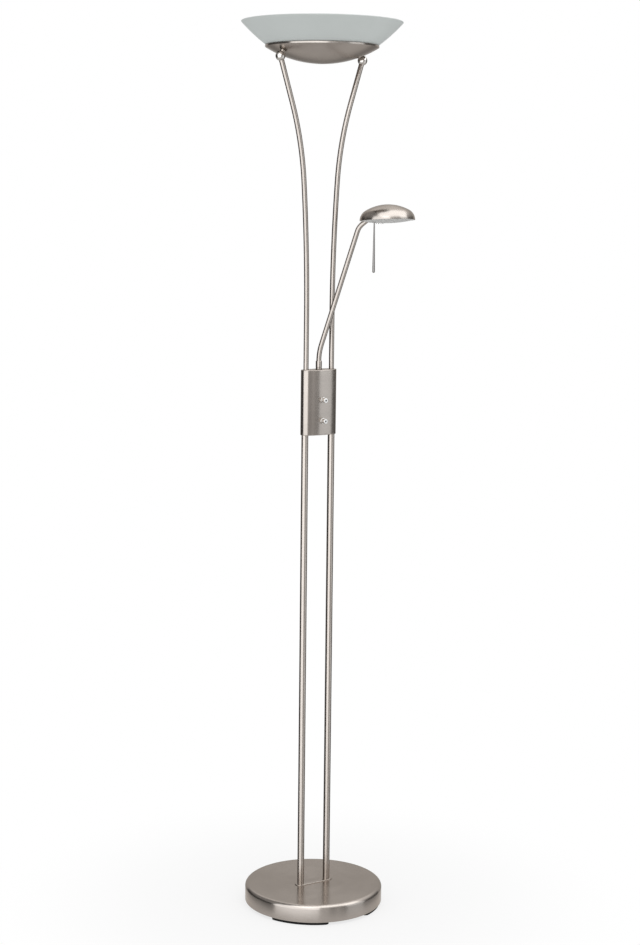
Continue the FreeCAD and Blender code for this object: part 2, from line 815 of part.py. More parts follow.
sway_middle, bend_foot = along_arc(sway_foot, sway_radius, 0.0, sway_lean)
bend_middle, bend_head = along_arc(bend_foot, bend_radius, sway_lean, lean)
pole_way = Vector(math.sin(lean), 0, math.cos(lean))

# The ball sits on the pole's line, as far below the pan as its flat and its spacer reach.
curve_centre = Vector(0, 0, float(pan_centre))
ball_distance = float(pan_curve + size.ball_flat + size.spacer_thickness)
to_centre = bend_head - curve_centre
half_b = to_centre.dot(pole_way)
run_to_ball = -half_b - math.sqrt(half_b ** 2 - to_centre.dot(to_centre) + ball_distance ** 2)
ball_centre = bend_head + pole_way * run_to_ball
screw_way = (curve_centre - ball_centre).normalize()
pole_end = ball_centre - pole_way * (float(size.ball_radius) / 3)


def swept(path, radius):
    """A solid round bar along a wire."""
    start = path.Edges[0].valueAt(path.Edges[0].FirstParameter)
    way = path.Edges[0].tangentAt(path.Edges[0].FirstParameter)
    ring = Part.Wire([Part.makeCircle(radius, start, way)])
    return path.makePipeShell([ring], True, False)


def bent_tube(path, outer_radius, wall):
    """A tube along a wire, with its volume compared with its section times its length."""
    inner_radius = outer_radius - wall
    shape = swept(path, outer_radius).cut(swept(path, inner_radius))
    expected = math.pi * (outer_radius ** 2 - inner_radius ** 2) * path.Length
    assert abs(shape.Volume / expected - 1) < 0.001, "a bent tube has the wrong volume"
    return shape


upper_path = Part.Wire([
    Part.LineSegment(pole_foot, sway_foot).toShape(),
    Part.Arc(sway_foot, sway_middle, bend_foot).toShape(),
    Part.Arc(bend_foot, bend_middle, bend_head).toShape(),
    Part.LineSegment(bend_head, pole_end).toShape()])
upper_tube = bent_tube(upper_path, float(size.upper_pole_radius), float(size.upper_pole_wall))
side_turns = {"left": Rotation(axis_z, 180), "right": Rotation()}
for side, turn in side_turns.items():
    node(formed("upper_pole_" + side, upper_tube, Placement(Vector(), turn)))

upper_thread = size.cap_thickness + size.flange_thickness + size.nut_height + size.stud_past_nut
upper_bore = size.upper_pole_radius - size.upper_pole_wall
upper_studs = []
for side, sign in sides:
    piece = stud("upper_stud_" + side, upper_bore, size.upper_stud_radius, size.upper_stud_bore, upper_thread)
    piece.setExpression("Placement.Base.x", (upper_pole_offset * sign).text)
    upper_studs.append(lift(piece, box_top))
node(group("upper_pole_studs", upper_studs))


def bar(radius, start, way, length):
    return Part.makeCylinder(radius, length, start, way)


# Everything along a bowl screw's line, worked out for the right side and turned for the left.
screw_radius = float(size.bowl_screw_radius)
lead_radius = float(size.lead_hole_radius)
flat_point = ball_centre + screw_way * float(size.ball_flat)
pan_point = flat_point + screw_way * float(size.spacer_thickness)
screw_tip = flat_point - screw_way * float(size.bowl_screw_grip)
bracket_lift = float(size.bracket_half_width) ** 2 / float(pan_inner_curve)
bracket_foot = pan_point + screw_way * (float(size.pan_wall) + bracket_lift)
head_foot = bracket_foot + screw_way * float(size.bracket_thickness)
head_height = float(size.bowl_screw_head)

ball = Part.makeSphere(float(size.ball_radius), ball_centre)
ball = ball.cut(bar(float(size.upper_pole_radius), pole_end, pole_way * -1, cutter_length))
ball = ball.cut(bar(float(size.ball_radius), flat_point, screw_way, cutter_length))
ball = ball.cut(bar(screw_radius, screw_tip, screw_way, cutter_length))
ball = ball.cut(bar(lead_radius, ball_centre, screw_way, cutter_length))
ball = ball.cut(bar(lead_radius, ball_centre, pole_way * -1, cutter_length))
spacer = bar(float(size.spacer_radius), flat_point, screw_way, float(size.spacer_thickness))
spacer = spacer.cut(bar(screw_radius, screw_tip, screw_way, cutter_length))
spacer = spacer.cut(Part.makeSphere(float(pan_curve), curve_centre))
bowl_screw = bar(screw_radius, screw_tip, screw_way, (head_foot - screw_tip).Length)
bowl_screw = bowl_screw.fuse(bar(float(size.bowl_screw_head_radius), head_foot, screw_way, head_height))
bowl_screw = bowl_screw.cut(bar(lead_radius, screw_tip, screw_way, cutter_length))
screw_clear = bar(screw_radius + float(size.hole_clearance), screw_tip, screw_way, cutter_length)


def both_sides(shape):
    pieces = []
    for turn in side_turns.values():
        piece = shape.copy()
        piece.Placement = Placement(Vector(), turn)
        pieces.append(piece)
    return Part.makeCompound(pieces)


for side, turn in side_turns.items():
    node(formed("knuckle_ball_" + side, ball, Placement(Vector(), turn)))
node(formed("ball_spacers", both_sides(spacer)))
node(formed("bowl_screws", both_sides(bowl_screw)))
screw_tool = formed("pan_screw_holes", both_sides(screw_clear))
node(cut("bowl_pan", pan_dish, screw_tool))

# Lamp bracket: a strip across the pan, flat in the middle, its ends bent up along the pan.
strip_thickness = float(size.bracket_thickness)
strip_low = float(pan_inside(Size(bracket_foot.x, "0")) - size.bracket_drop)
strip_way = Vector(screw_way.z, 0, -screw_way.x)
bend_share = (strip_low - bracket_foot.z) / strip_way.z
strip_bend = bracket_foot + strip_way * bend_share
strip_end = bracket_foot + strip_way * float(size.bowl_screw_head_radius + size.bracket_margin)
upward = screw_way * strip_thickness
miter = strip_thickness * math.tan(math.acos(screw_way.z) / 2)
strip_half = [
    Vector(strip_bend.x, 0, strip_low), strip_end, strip_end + upward,
    Vector(strip_bend.x - miter, 0, strip_low + strip_thickness)]
strip_outline = strip_half + [Vector(-point.x, 0, point.z) for point in reversed(strip_half)]
strip_outline.append(strip_outline[0])
half_width = float(size.bracket_half_width)
strip_face = Part.Face(Part.makePolygon(strip_outline))
strip = strip_face.extrude(axis_y * (2 * half_width))
strip.translate(axis_y * -half_width)
node(formed("lamp_bracket", strip.cut(both_sides(screw_clear))))

lamp_height = glass_top - size.lamp_drop
strip_top = strip_low + strip_thickness
holders = []
for side, sign in sides:
    start = size.lamp_half_length if sign > 0 else -size.lamp_half_length - size.holder_length
    holder = block("holder_block_" + side, (start, -size.holder_width / 2, strip_top),
                   (start + size.holder_length, size.holder_width / 2, strip_top + size.holder_rise))
    recess = cylinder("holder_recess_" + side, size.lamp_pin_radius + size.lamp_pin_clearance,
                      size.holder_recess * 2,
                      (size.lamp_half_length * sign - size.holder_recess, 0, lamp_height), sideways_turn)
    holders.append(cut("holder_" + side, holder, recess))
node(group("lampholders", holders))
pin_reach = size.lamp_half_length + size.lamp_pin_length
cap_start = size.lamp_half_length - size.lamp_end_length
neck_end = cap_start - size.lamp_neck_rise
tube_end = cap_start - size.lamp_neck_length
linear_lamp = turned("linear_lamp", [
    (0, -pin_reach), (size.lamp_pin_radius, -pin_reach), (size.lamp_pin_radius, -size.lamp_half_length),
    (size.lamp_end_radius, -size.lamp_half_length), (size.lamp_end_radius, -cap_start),
    (size.lamp_neck_radius, -neck_end), (size.lamp_radius, -tube_end), (size.lamp_radius, tube_end),
    (size.lamp_neck_radius, neck_end), (size.lamp_end_radius, cap_start),
    (size.lamp_end_radius, size.lamp_half_length), (size.lamp_pin_radius, size.lamp_half_length),
    (size.lamp_pin_radius, pin_reach), (0, pin_reach)])
node(linear_lamp, placement=Placement(Vector(0, 0, float(lamp_height)), sideways_turn))
linear_lamp.setExpression("Placement.Base.z", lamp_height.text)

glass_foot = glass_top - size.glass_foot_drop
node(turned("glass_seat", [
    (size.seat_inner_radius, pan_inside(size.seat_inner_radius)),
    (size.seat_outer_radius, pan_inside(size.seat_outer_radius), -pan_inner_curve),
    (size.seat_outer_radius, glass_foot), (size.seat_inner_radius, glass_foot)]))
glass_shoulder = glass_top - size.glass_round
node(turned("glass_bowl", [
    (size.glass_foot_radius, glass_foot),
    (size.glass_radius, glass_shoulder, -size.glass_curve),
    (size.glass_radius - size.glass_round, glass_top, -size.glass_round),
    (size.glass_radius - size.glass_wall, glass_top),
    (size.glass_foot_radius - size.glass_foot_wall, glass_foot, size.glass_curve)]))

reflector_low = glass_top - size.reflector_drop
reflector_depth = glass_foot - reflector_low
reflector_curve = (size.reflector_radius * size.reflector_radius + reflector_depth * reflector_depth) / (
    reflector_depth * 2)
flange_edge = size.glass_foot_radius - size.glass_foot_wall - size.hole_clearance * 4
reflector_dish = turned("reflector_dish", [
    (0, reflector_low), (size.reflector_radius, glass_foot, -reflector_curve), (flange_edge, glass_foot),
    (flange_edge, glass_foot + size.reflector_wall),
    (size.reflector_radius, glass_foot + size.reflector_wall),
    (0, reflector_low + size.reflector_wall, reflector_curve)])
reflector_slots = []
for side, sign in sides:
    start = size.lamp_half_length - 1 if sign > 0 else -size.lamp_half_length - size.holder_length - 1
    reflector_slots.append(block(
        "reflector_slot_" + side, (start, -size.holder_width / 2 - 1, reflector_low - 5),
        (start + size.holder_length + 2, size.holder_width / 2 + 1, glass_foot + 5)))
node(cut("lamp_reflector", reflector_dish, *reflector_slots))

# ---- reading arm ----

arm_turn = Rotation(axis_z, float(size.arm_turn))
arm_place = Placement(Vector(), arm_turn)
bush_top = box_top
flange_top = cap_underside - size.flange_thickness
node(turned("arm_bush", [
    (size.arm_radius + size.running_clearance, flange_top - size.bush_flange),
    (size.bush_flange_radius, flange_top - size.bush_flange), (size.bush_flange_radius, flange_top),
    (size.bush_radius, flange_top), (size.bush_radius, bush_top),
    (size.arm_radius + size.running_clearance, bush_top)]))
washer_top = flange_top - size.bush_flange - size.running_clearance
washer_base = washer_top - size.friction_washer
ring_base = washer_base - size.lock_ring_height
node(turned("arm_friction_washer", [
    (size.arm_radius, washer_base), (size.lock_ring_radius, washer_base),
    (size.lock_ring_radius, washer_top), (size.arm_radius, washer_top)]), placement=arm_place)
ring = turned("lock_ring_body", [
    (size.arm_radius, ring_base), (size.lock_ring_radius, ring_base),
    (size.lock_ring_radius, washer_base), (size.arm_radius, washer_base)])
finger = block("lock_ring_finger", (size.lock_ring_radius - 1, -size.stop_pin_radius, ring_base),
               (size.stop_circle + size.stop_pin_radius, size.stop_pin_radius, washer_base))
node(fuse("arm_lock_ring", ring, finger), placement=arm_place)
stop_pins = []
for name, sign in sides:
    angle = math.radians(-90 + sign * float(size.stop_spread))
    stop_pins.append(cylinder("stop_pin_" + name, size.stop_pin_radius, flange_top - ring_base,
                              (size.stop_circle * math.cos(angle), size.stop_circle * math.sin(angle),
                               ring_base)))
node(group("arm_stop_pins", stop_pins))

collar_base = box_top + size.arm_collar_gap
collar_top = box_top + size.arm_foot_rise
node(turned("arm_collar", [
    (size.arm_radius, collar_base), (size.arm_collar_radius, collar_base),
    (size.arm_collar_radius, collar_top - size.arm_collar_shoulder),
    (size.arm_collar_radius - size.arm_collar_taper, collar_top, -size.arm_collar_round),
    (size.arm_radius, collar_top)]), placement=arm_place)

arm_lean = math.radians(float(size.arm_lean))
end_lean = math.radians(90 - float(size.arm_end_rise))
arm_foot = Vector(0, 0, float(ring_base))
first_foot = Vector(0, 0, float(collar_top))
first_middle, first_head = along_arc(first_foot, float(size.arm_foot_bend), 0.0, arm_lean)
arm_way = Vector(math.sin(arm_lean), 0, math.cos(arm_lean))
second_foot = first_head + arm_way * float(size.arm_run)
second_middle, second_head = along_arc(second_foot, float(size.arm_head_bend), arm_lean, end_lean)
end_way = Vector(math.sin(end_lean), 0, math.cos(end_lean))
pivot = second_head + end_way * float(size.pivot_reach)
arm_end = pivot - end_way * float(size.pivot_gap)
arm_path = Part.Wire([
    Part.LineSegment(arm_foot, first_foot).toShape(),
    Part.Arc(first_foot, first_middle, first_head).toShape(),
    Part.LineSegment(first_head, second_foot).toShape(),
    Part.Arc(second_foot, second_middle, second_head).toShape(),
    Part.LineSegment(second_head, arm_end).toShape()])
node(formed("arm_tube", bent_tube(arm_path, float(size.arm_radius), float(size.arm_wall)), arm_place))

# ---- reading head ----

# The swivel turns on the arm's end.  The head's own frame has its origin at the pivot and +X
# pointing away from the poles.
pivot_place = Placement(arm_turn.multVec(pivot), arm_turn)
roll_place = pivot_place.multiply(Placement(Vector(), Rotation(end_way, float(size.head_roll))))
head_place = roll_place.multiply(Placement(Vector(), Rotation(axis_y, -float(size.head_tilt))))

stud_bore = float(size.arm_radius - size.arm_wall)
swivel_stud = bar(stud_bore - float(size.running_clearance), end_way * -float(size.pivot_gap), end_way * -1,
                  float(size.swivel_stud_length))
eye_rise = float(size.eye_gap - size.pivot_gap)
eye_neck = bar(float(size.eye_radius), end_way * eye_rise, end_way, -eye_rise)
eye_width = 2 * float(size.eye_half_width)
eye_start = axis_y * -float(size.eye_half_width)
eye_round = bar(float(size.eye_radius), eye_start, axis_y, eye_width)
flats = Part.makeBox(60, eye_width, 60, Vector(-30, -eye_width / 2, -30))
link = bar(stud_bore - float(size.running_clearance), end_way * -float(size.pivot_gap), end_way,
           float(size.eye_gap))
eye = eye_neck.common(flats).fuse([eye_round, swivel_stud, link])
pin_start = axis_y * (-cutter_length / 2)
eye = eye.cut(bar(float(size.pivot_pin_radius + size.running_clearance), pin_start, axis_y, cutter_length))
lead_turn = end_way * float(size.lead_turn_rise - size.pivot_gap)
eye = eye.cut(bar(lead_radius, lead_turn, end_way * -1, cutter_length))
eye = eye.cut(bar(lead_radius, lead_turn, axis_y, cutter_length))
node(formed("swivel_block", eye, roll_place))

ear_near = size.eye_half_width + size.ear_gap
ear_far = ear_near + size.ear_thickness
pin_head = float(size.pivot_pin_head)
pin_span = 2 * float(ear_far)
pin = bar(float(size.pivot_pin_radius), axis_y * -float(ear_far), axis_y, pin_span)
for sign in (-1, 1):
    pin = pin.fuse(bar(float(size.pivot_pin_radius) + pin_head, axis_y * (sign * float(ear_far)),
                       axis_y * sign, pin_head))
node(formed("head_pivot_pin", pin, head_place))

strip_top_height = size.strip_height + size.ear_thickness
ears = []
for name, sign in sides:
    low = ear_near if sign > 0 else -ear_far
    ears.append(block("bracket_ear_" + name, (-size.ear_reach, low, -size.ear_reach),
                      (size.ear_reach, low + size.ear_thickness, size.strip_height)))
bracket_strip = block("bracket_strip",
                      (-size.ear_reach - size.strip_back, -size.strip_half_width, size.strip_height),
                      (size.shade_reach + size.strip_past_post, size.strip_half_width, strip_top_height))
rod_lug = block("bracket_lug",
                (size.rod_reach - size.lug_half_width, -size.rod_side - size.lug_half_width,
                 size.strip_height),
                (size.rod_reach + size.lug_half_width, -size.strip_half_width, strip_top_height))
post_height = size.shade_height - size.shade_drop - size.shade_wall - strip_top_height - size.post_gap
bracket_post = cylinder("bracket_post", size.post_radius, post_height,
                        (size.shade_reach, 0, strip_top_height))
bracket_blank = fuse("bracket_blank", *ears, bracket_strip, rod_lug, bracket_post)
pin_hole = cylinder("bracket_pin_hole", size.pivot_pin_radius, 30, (0, 15, 0), front_turn)
rod_top = Vector(float(size.rod_reach), -float(size.rod_side), float(strip_top_height))
rod_hang = Placement(head_place.multVec(rod_top), arm_turn)
rod_in_head = head_place.inverse().multiply(rod_hang)
rod_hole = formed("bracket_rod_hole", bar(float(size.rod_top_radius), Vector(0, 0, 5), axis_z * -1, 12),
                  rod_in_head)
lens_screw_spots = (size.lens_screw_near, size.lens_screw_far)
screw_holes = [cylinder("bracket_screw_hole_%d" % index, size.lens_screw_radius, 10, (spot, 0, 5))
               for index, spot in enumerate(lens_screw_spots)]
node(cut("head_bracket", bracket_blank, pin_hole, rod_hole, *screw_holes), placement=head_place)

# Shade: a crown tangent to a rounder shoulder.
shoulder_centre = size.shade_radius - size.shade_shoulder
crown = (shoulder_centre * shoulder_centre + size.shade_height * size.shade_height
         - size.shade_shoulder * size.shade_shoulder) / ((size.shade_height - size.shade_shoulder) * 2)
spread = crown - size.shade_shoulder
crown_drop = crown - size.shade_height
inner_shoulder = size.shade_shoulder - size.shade_wall


def shoulder_point(radius):
    return (shoulder_centre + radius * shoulder_centre / spread, radius * crown_drop / spread)


outer_shoulder = shoulder_point(size.shade_shoulder)
inner_point = shoulder_point(inner_shoulder)
shade_shell = turned("shade_shell", [
    (size.shade_radius, 0), (outer_shoulder[0], outer_shoulder[1], -size.shade_shoulder),
    (0, size.shade_height, -crown), (0, size.shade_height - size.shade_wall),
    (inner_point[0], inner_point[1], crown - size.shade_wall),
    (size.shade_radius - size.shade_wall, 0, inner_shoulder)])
notch = block("shade_notch", (-size.shade_radius - 5, -size.notch_width / 2, -5),
              (-size.shade_radius + size.notch_depth, size.notch_width / 2, size.notch_height))
shade_offset = Placement(Vector(float(size.shade_reach), 0, -float(size.shade_drop)), Rotation())
shade_place = head_place.multiply(shade_offset)
node(cut("head_shade", shade_shell, notch), placement=shade_place)

lens_radius = size.shade_radius - size.shade_wall - size.lens_gap
lens_curve = (lens_radius * lens_radius + size.lens_sag * size.lens_sag) / (size.lens_sag * 2)
lens_disc = turned("lens_disc", [
    (0, -size.lens_sag), (lens_radius, 0, -lens_curve), (lens_radius, size.lens_thickness),
    (0, size.lens_thickness - size.lens_sag, lens_curve)])
lens_slot = block("lens_slot", (-size.shade_radius - 5, -size.notch_width / 2, -10),
                  (size.slot_past_pivot - size.shade_reach, size.notch_width / 2, 10))
rod_in_shade = shade_offset.inverse().multiply(rod_in_head)
rod_hole_radius = float(size.rod_top_radius + size.rod_clearance)
rod_clear = formed("lens_rod_hole", bar(rod_hole_radius, Vector(), axis_z * -1, cutter_length), rod_in_shade)
lens_hole_radius = size.lens_screw_radius + size.lens_screw_clearance
lens_holes = [cylinder("lens_screw_hole_%d" % index, lens_hole_radius, cutter_length,
                       (spot - size.shade_reach, 0, -cutter_length / 2))
              for index, spot in enumerate(lens_screw_spots)]
node(cut("head_lens", lens_disc, lens_slot, rod_clear, *lens_holes), placement=shade_place)

lens_screws = []
for index, spot in enumerate(lens_screw_spots):
    off_centre = size.shade_reach - spot
    lens_under = lens_curve - size.lens_sag - root(lens_curve * lens_curve - off_centre * off_centre)
    head_top = lens_under - size.shade_drop - off_centre * size.lens_screw_seat / lens_curve
    shank = cylinder("lens_screw_shank_%d" % index, size.lens_screw_radius, strip_top_height - head_top,
                     (spot, 0, head_top))
    head = cylinder("lens_screw_head_%d" % index, size.lens_screw_head_radius, size.lens_screw_head,
                    (spot, 0, head_top - size.lens_screw_head))
    lens_screws.append(fuse("lens_screw_%d" % index, shank, head))
node(group("lens_screws", lens_screws), placement=head_place)

capsule_start = size.socket_start + size.socket_length
socket_block = block("socket_block",
                     (size.socket_start, -size.capsule_radius - size.socket_margin,
                      size.capsule_height - size.capsule_radius),
                     (capsule_start, size.capsule_radius + size.socket_margin, size.strip_height))
socket_recess = block("socket_recess", (capsule_start - 5, 2 - size.capsule_radius, size.capsule_height - 2),
                      (capsule_start + 5, size.capsule_radius - 2, size.capsule_height + 2))
node(cut("capsule_socket", socket_block, socket_recess), placement=head_place)
capsule_neck_radius = size.capsule_radius - size.capsule_neck
capsule = turned("capsule_lamp", [
    (0, 0), (capsule_neck_radius, 0), (capsule_neck_radius, size.capsule_pinch),
    (size.capsule_radius, size.capsule_shoulder),
    (size.capsule_radius, size.capsule_length - size.capsule_radius),
    (0, size.capsule_length, -size.capsule_radius)])
capsule_offset = Placement(Vector(float(capsule_start), 0, float(size.capsule_height)), sideways_turn)
node(capsule, placement=head_place.multiply(capsule_offset))

# Handle rod: hangs upright from the bracket's lug, thicker and rounded at its lower end.
rod_length = size.rod_drop + strip_top_height
rod = turned("handle_rod", [
    (0, 0), (size.rod_top_radius, 0), (size.rod_top_radius, -size.rod_straight),
    (size.rod_end_radius, -rod_length + size.rod_end_radius),
    (0, -rod_length, size.rod_end_radius)])
node(rod, placement=rod_hang)

# ---- check and write ----

doc.recompute()
for item in doc.Objects:
    if "Invalid" in item.State or "Error" in item.State:
        raise RuntimeError("%s did not build: %s" % (item.Label, item.State))
os.makedirs("parts", exist_ok=True)
for item in nodes:
    if item.Shape.isNull() or not item.Shape.isValid() or not item.Shape.Solids:
        raise RuntimeError("%s has no valid solid" % item.Label)
for item in nodes:
    item.Shape.exportStep(os.path.join("parts", item.Label + ".step"))
    print("%-24s %d solid(s) %10.0f mm3" % (item.Label, len(item.Shape.Solids), item.Shape.Volume))
print("%d sub-parts, ball centre %s, arm pivot %s" % (len(nodes), ball_centre, pivot_place.Base))
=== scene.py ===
import math
import bpy
from mathutils import Matrix, Vector


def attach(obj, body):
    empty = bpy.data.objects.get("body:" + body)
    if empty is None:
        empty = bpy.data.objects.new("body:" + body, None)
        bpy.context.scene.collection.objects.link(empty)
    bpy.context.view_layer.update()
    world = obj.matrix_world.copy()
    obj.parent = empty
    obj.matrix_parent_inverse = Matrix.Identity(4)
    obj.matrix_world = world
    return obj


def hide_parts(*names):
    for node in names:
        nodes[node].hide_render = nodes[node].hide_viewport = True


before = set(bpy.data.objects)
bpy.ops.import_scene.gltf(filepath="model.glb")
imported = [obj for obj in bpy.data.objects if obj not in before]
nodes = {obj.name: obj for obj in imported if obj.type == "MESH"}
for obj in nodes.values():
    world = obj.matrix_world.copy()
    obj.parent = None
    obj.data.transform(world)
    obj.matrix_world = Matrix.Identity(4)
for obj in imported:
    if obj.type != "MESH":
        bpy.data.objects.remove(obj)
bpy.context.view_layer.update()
mm = 0.001
nearZero = 0.0001  # keeps a division away from 0
sides = {"left": -1, "right": 1}
print("frame loaded, nodes:", len(nodes))

# the camera stands in front and to the left, at about chest height, looking slightly down
cameraSettings = {
    "place": (-2.0438, -3.1814, 1.4456),
    "turn": 32.79,  # degrees of its aim round the lamp, from straight at the front
    "pitch": -8.122,
    "roll": 0.62,
    "lens": 71.7,
    "sensor": 36,
    "farthest": 200,  # metres that it sees
}


def makeCamera(s):
    turn = math.radians(s["turn"])
    pitch = math.radians(s["pitch"])
    roll = math.radians(s["roll"])
    ahead = Vector((math.sin(turn) * math.cos(pitch), math.cos(turn) * math.cos(pitch), math.sin(pitch)))
    level = Vector((math.cos(turn), -math.sin(turn), 0))
    above = level.cross(ahead)
    right = level * math.cos(roll) + above * math.sin(roll)
    up = above * math.cos(roll) - level * math.sin(roll)
    data = bpy.data.cameras.new("camera")
    data.lens = s["lens"]
    data.sensor_width = s["sensor"]
    data.clip_end = s["farthest"]
    camera = bpy.data.objects.new("camera", data)
    bpy.context.scene.collection.objects.link(camera)
    axes = Matrix((right, up, -ahead)).transposed().to_4x4()
    camera.matrix_world = Matrix.Translation(s["place"]) @ axes
    bpy.context.scene.camera = camera


makeCamera(cameraSettings)
bpy.context.scene.view_settings.view_transform = "Standard"
print("camera set")


class Wire:
    # one output socket of a material or world; sums on it add Math nodes

    def __init__(self, tree, socket=None):
        self.tree = tree
        self.socket = socket

    def node(self, kind, settings=None, sockets=None, output=0):
        made = self.tree.nodes.new(kind)
        for name, value in (settings or {}).items():
            setattr(made, name, value)
        for name, value in (sockets or {}).items():
            if isinstance(value, Wire):
                self.tree.links.new(value.socket, made.inputs[name])
            else:
                made.inputs[name].default_value = value
        return Wire(self.tree, made.outputs[output] if made.outputs else None)

    def sum(self, operation, first, second=0.0):
        return self.node("ShaderNodeMath", {"operation": operation}, {0: first, 1: second})

    def __add__(self, other):
        return self.sum("ADD", self, other)

    def __sub__(self, other):
        return self.sum("SUBTRACT", self, other)

    def __rsub__(self, other):
        return self.sum("SUBTRACT", other, self)

    def __mul__(self, other):
        return self.sum("MULTIPLY", self, other)

    def __truediv__(self, other):
        return self.sum("DIVIDE", self, other)

    def __pow__(self, other):
        return self.sum("POWER", self, other)

    __radd__ = __add__
    __rmul__ = __mul__

    def split(self):
        parts = self.node("ShaderNodeSeparateXYZ", None, {0: self})
        outputs = parts.socket.node.outputs
        return [Wire(self.tree, outputs[index]) for index in range(3)]

    def join(self, x, y, z):
        return self.node("ShaderNodeCombineXYZ", None, {0: x, 1: y, 2: z})

    def between(self, low, high):
        # 0 below low, 1 above high, eased between
        return self.node("ShaderNodeMapRange", {"interpolation_type": "SMOOTHSTEP"},
                         {"Value": self, "From Min": low, "From Max": high})

    def blend(self, first, second):
        # the first colour where this is 0, the second where it is 1
        return self.node("ShaderNodeMix", {"data_type": "RGBA"}, {0: self, 6: first, 7: second}, 2)

    def noise(self, scale, detail=2.0, rough=0.5):
        return self.node("ShaderNodeTexNoise", {"noise_dimensions": "3D"},
                         {"Vector": self, "Scale": scale, "Detail": detail, "Roughness": rough})


def newMaterial(name):
    material = bpy.data.materials.new(name)
    material.use_nodes = True
    material.node_tree.nodes.clear()
    return material, Wire(material.node_tree)


def closeMaterial(material, start, shader):
    start.node("ShaderNodeOutputMaterial", None, {"Surface": shader})
    return material


def placeOf(start, centre=(0, 0, 0), turn=(0, 0, 0)):
    # the point on the piece, measured from a centre in metres and turned to suit its pattern
    point = start.node("ShaderNodeTexCoord", None, None, "Object")
    return start.node("ShaderNodeMapping", {"vector_type": "TEXTURE"},
                      {"Vector": point, "Location": centre, "Rotation": turn})


def tinted(colour, share):
    return tuple(channel * share for channel in colour[:3]) + (1,)


def deselect():
    bpy.ops.object.select_all(action="DESELECT")


def at(x, y, z):
    # a place given in millimetres
    return Vector((x, y, z)) * mm


# the stage, the lamps and the room they stand in
stageSettings = {
    "radius": 1.3,
    "floorColour": (0.92, 0.92, 0.92, 1),
    "patches": 0.9,  # noise scale of its darker patches
    "patchEnds": (0.2, 0.8),
    "patchShade": 0.98,
    "shadowShare": 0.24,  # how much of the floor by the lamp is lit floor, the rest plain white
    "shadowReach": (0.16, 0.70),  # metres out, over which that share falls to nothing
    "shownInMetal": (0.160, 0.245),
}
roomSettings = {
    # how bright each part of the room shows in the metal, where the backdrop is 1
    "light": 0.80,  # what reaches plain surfaces from all round
    "above": 0.76,
    "aboveLeft": 0.40,
    "overhead": 1.35,
    "below": 0.80,
    "behindBelow": 0.50,
    # the heights, as the sine of a direction's rise, over which those parts begin
    "aboveFrom": (0.16, 0.40),
    "overheadFrom": (0.42, 0.66),
    "belowFrom": (-0.40, -0.62),
    "behindBelowFrom": (-0.03, -0.28),
    # degrees to the right of the camera, half width, and half width with the soft edge
    "leftSide": (-100, 32, 58),
    "behind": (180, 50, 80),
}
sectorSettings = {
    # parts of the room at the lamp's height: degrees as above, then the share of its light they keep
    "front": (-22, 70, 76, 0.86),
    "leftDark": (-104, 33, 40, 0.10),  # the dark sides draw the edges of the tubes
    "rightDark": (95, 39, 43, 0.20),
    "back": (180, 44, 52, 0.70),
    "firstGap": (34, 4, 8, 0.5814),  # narrow gaps between cards are fine lines in the metal
    "secondGap": (50, 4, 8, 0.5814),
}
lampSettings = {
    # degrees to the right of the camera, degrees up, distance, width, height, watts and what it lights
    "leftCard": (-27, 3, 3.2, 5.10, 4.8, 129, "metal"),
    "rightCard": (73.5, 3, 3.6, 2.27, 4.8, 39, "metal"),
    "topCard": (36, 62, 3.0, 6.6, 3.5, 118, "metal"),
    "softLight": (35, 52, 3.4, 1.8, 1.4, 14, "surfaces"),
}
lampAim = Vector((0, 0, 1.0))
cardColour = (0.91, 0.96, 1.0)


def rayKinds(start, *kinds):
    rays = start.node("ShaderNodeLightPath").socket.node.outputs
    return [Wire(start.tree, rays[kind]) for kind in kinds]


def seenDirectly(start):
    camera, glossy, through = rayKinds(start, "Is Camera Ray", "Is Glossy Ray", "Is Transmission Ray")
    return start.sum("MINIMUM", camera + glossy + through, 1.0)


def makeFloor(s):
    deselect()
    bpy.ops.mesh.primitive_circle_add(vertices=96, radius=s["radius"], fill_type="NGON")
    floor = bpy.context.object
    floor.name = "floor"
    material, start = newMaterial("paleFloor")
    place = placeOf(start)
    x, y, z = place.split()
    reach = (x * x + y * y) ** 0.5
    inner, outer = s["shadowReach"]
    patches = place.noise(s["patches"]).between(*s["patchEnds"])
    colour = patches.blend(tinted(s["floorColour"], s["patchShade"]), s["floorColour"])
    lit = start.node("ShaderNodeBsdfDiffuse", None, {"Color": colour})
    white = start.node("ShaderNodeEmission", None, {"Strength": 1.0})
    near = 1 - reach.between(inner, outer)
    plain = (1 - near * s["shadowShare"]) * seenDirectly(start)
    seen = start.node("ShaderNodeMixShader", None, {0: plain, 1: lit, 2: white})
    # beyond the base the metal shows the room below it, dark parts and all, in place of the floor
    glossy = rayKinds(start, "Is Glossy Ray")[0] * reach.between(*s["shownInMetal"])
    through = start.node("ShaderNodeBsdfTransparent")
    shader = start.node("ShaderNodeMixShader", None, {0: glossy, 1: seen, 2: through})
    floor.data.materials.append(closeMaterial(material, start, shader))


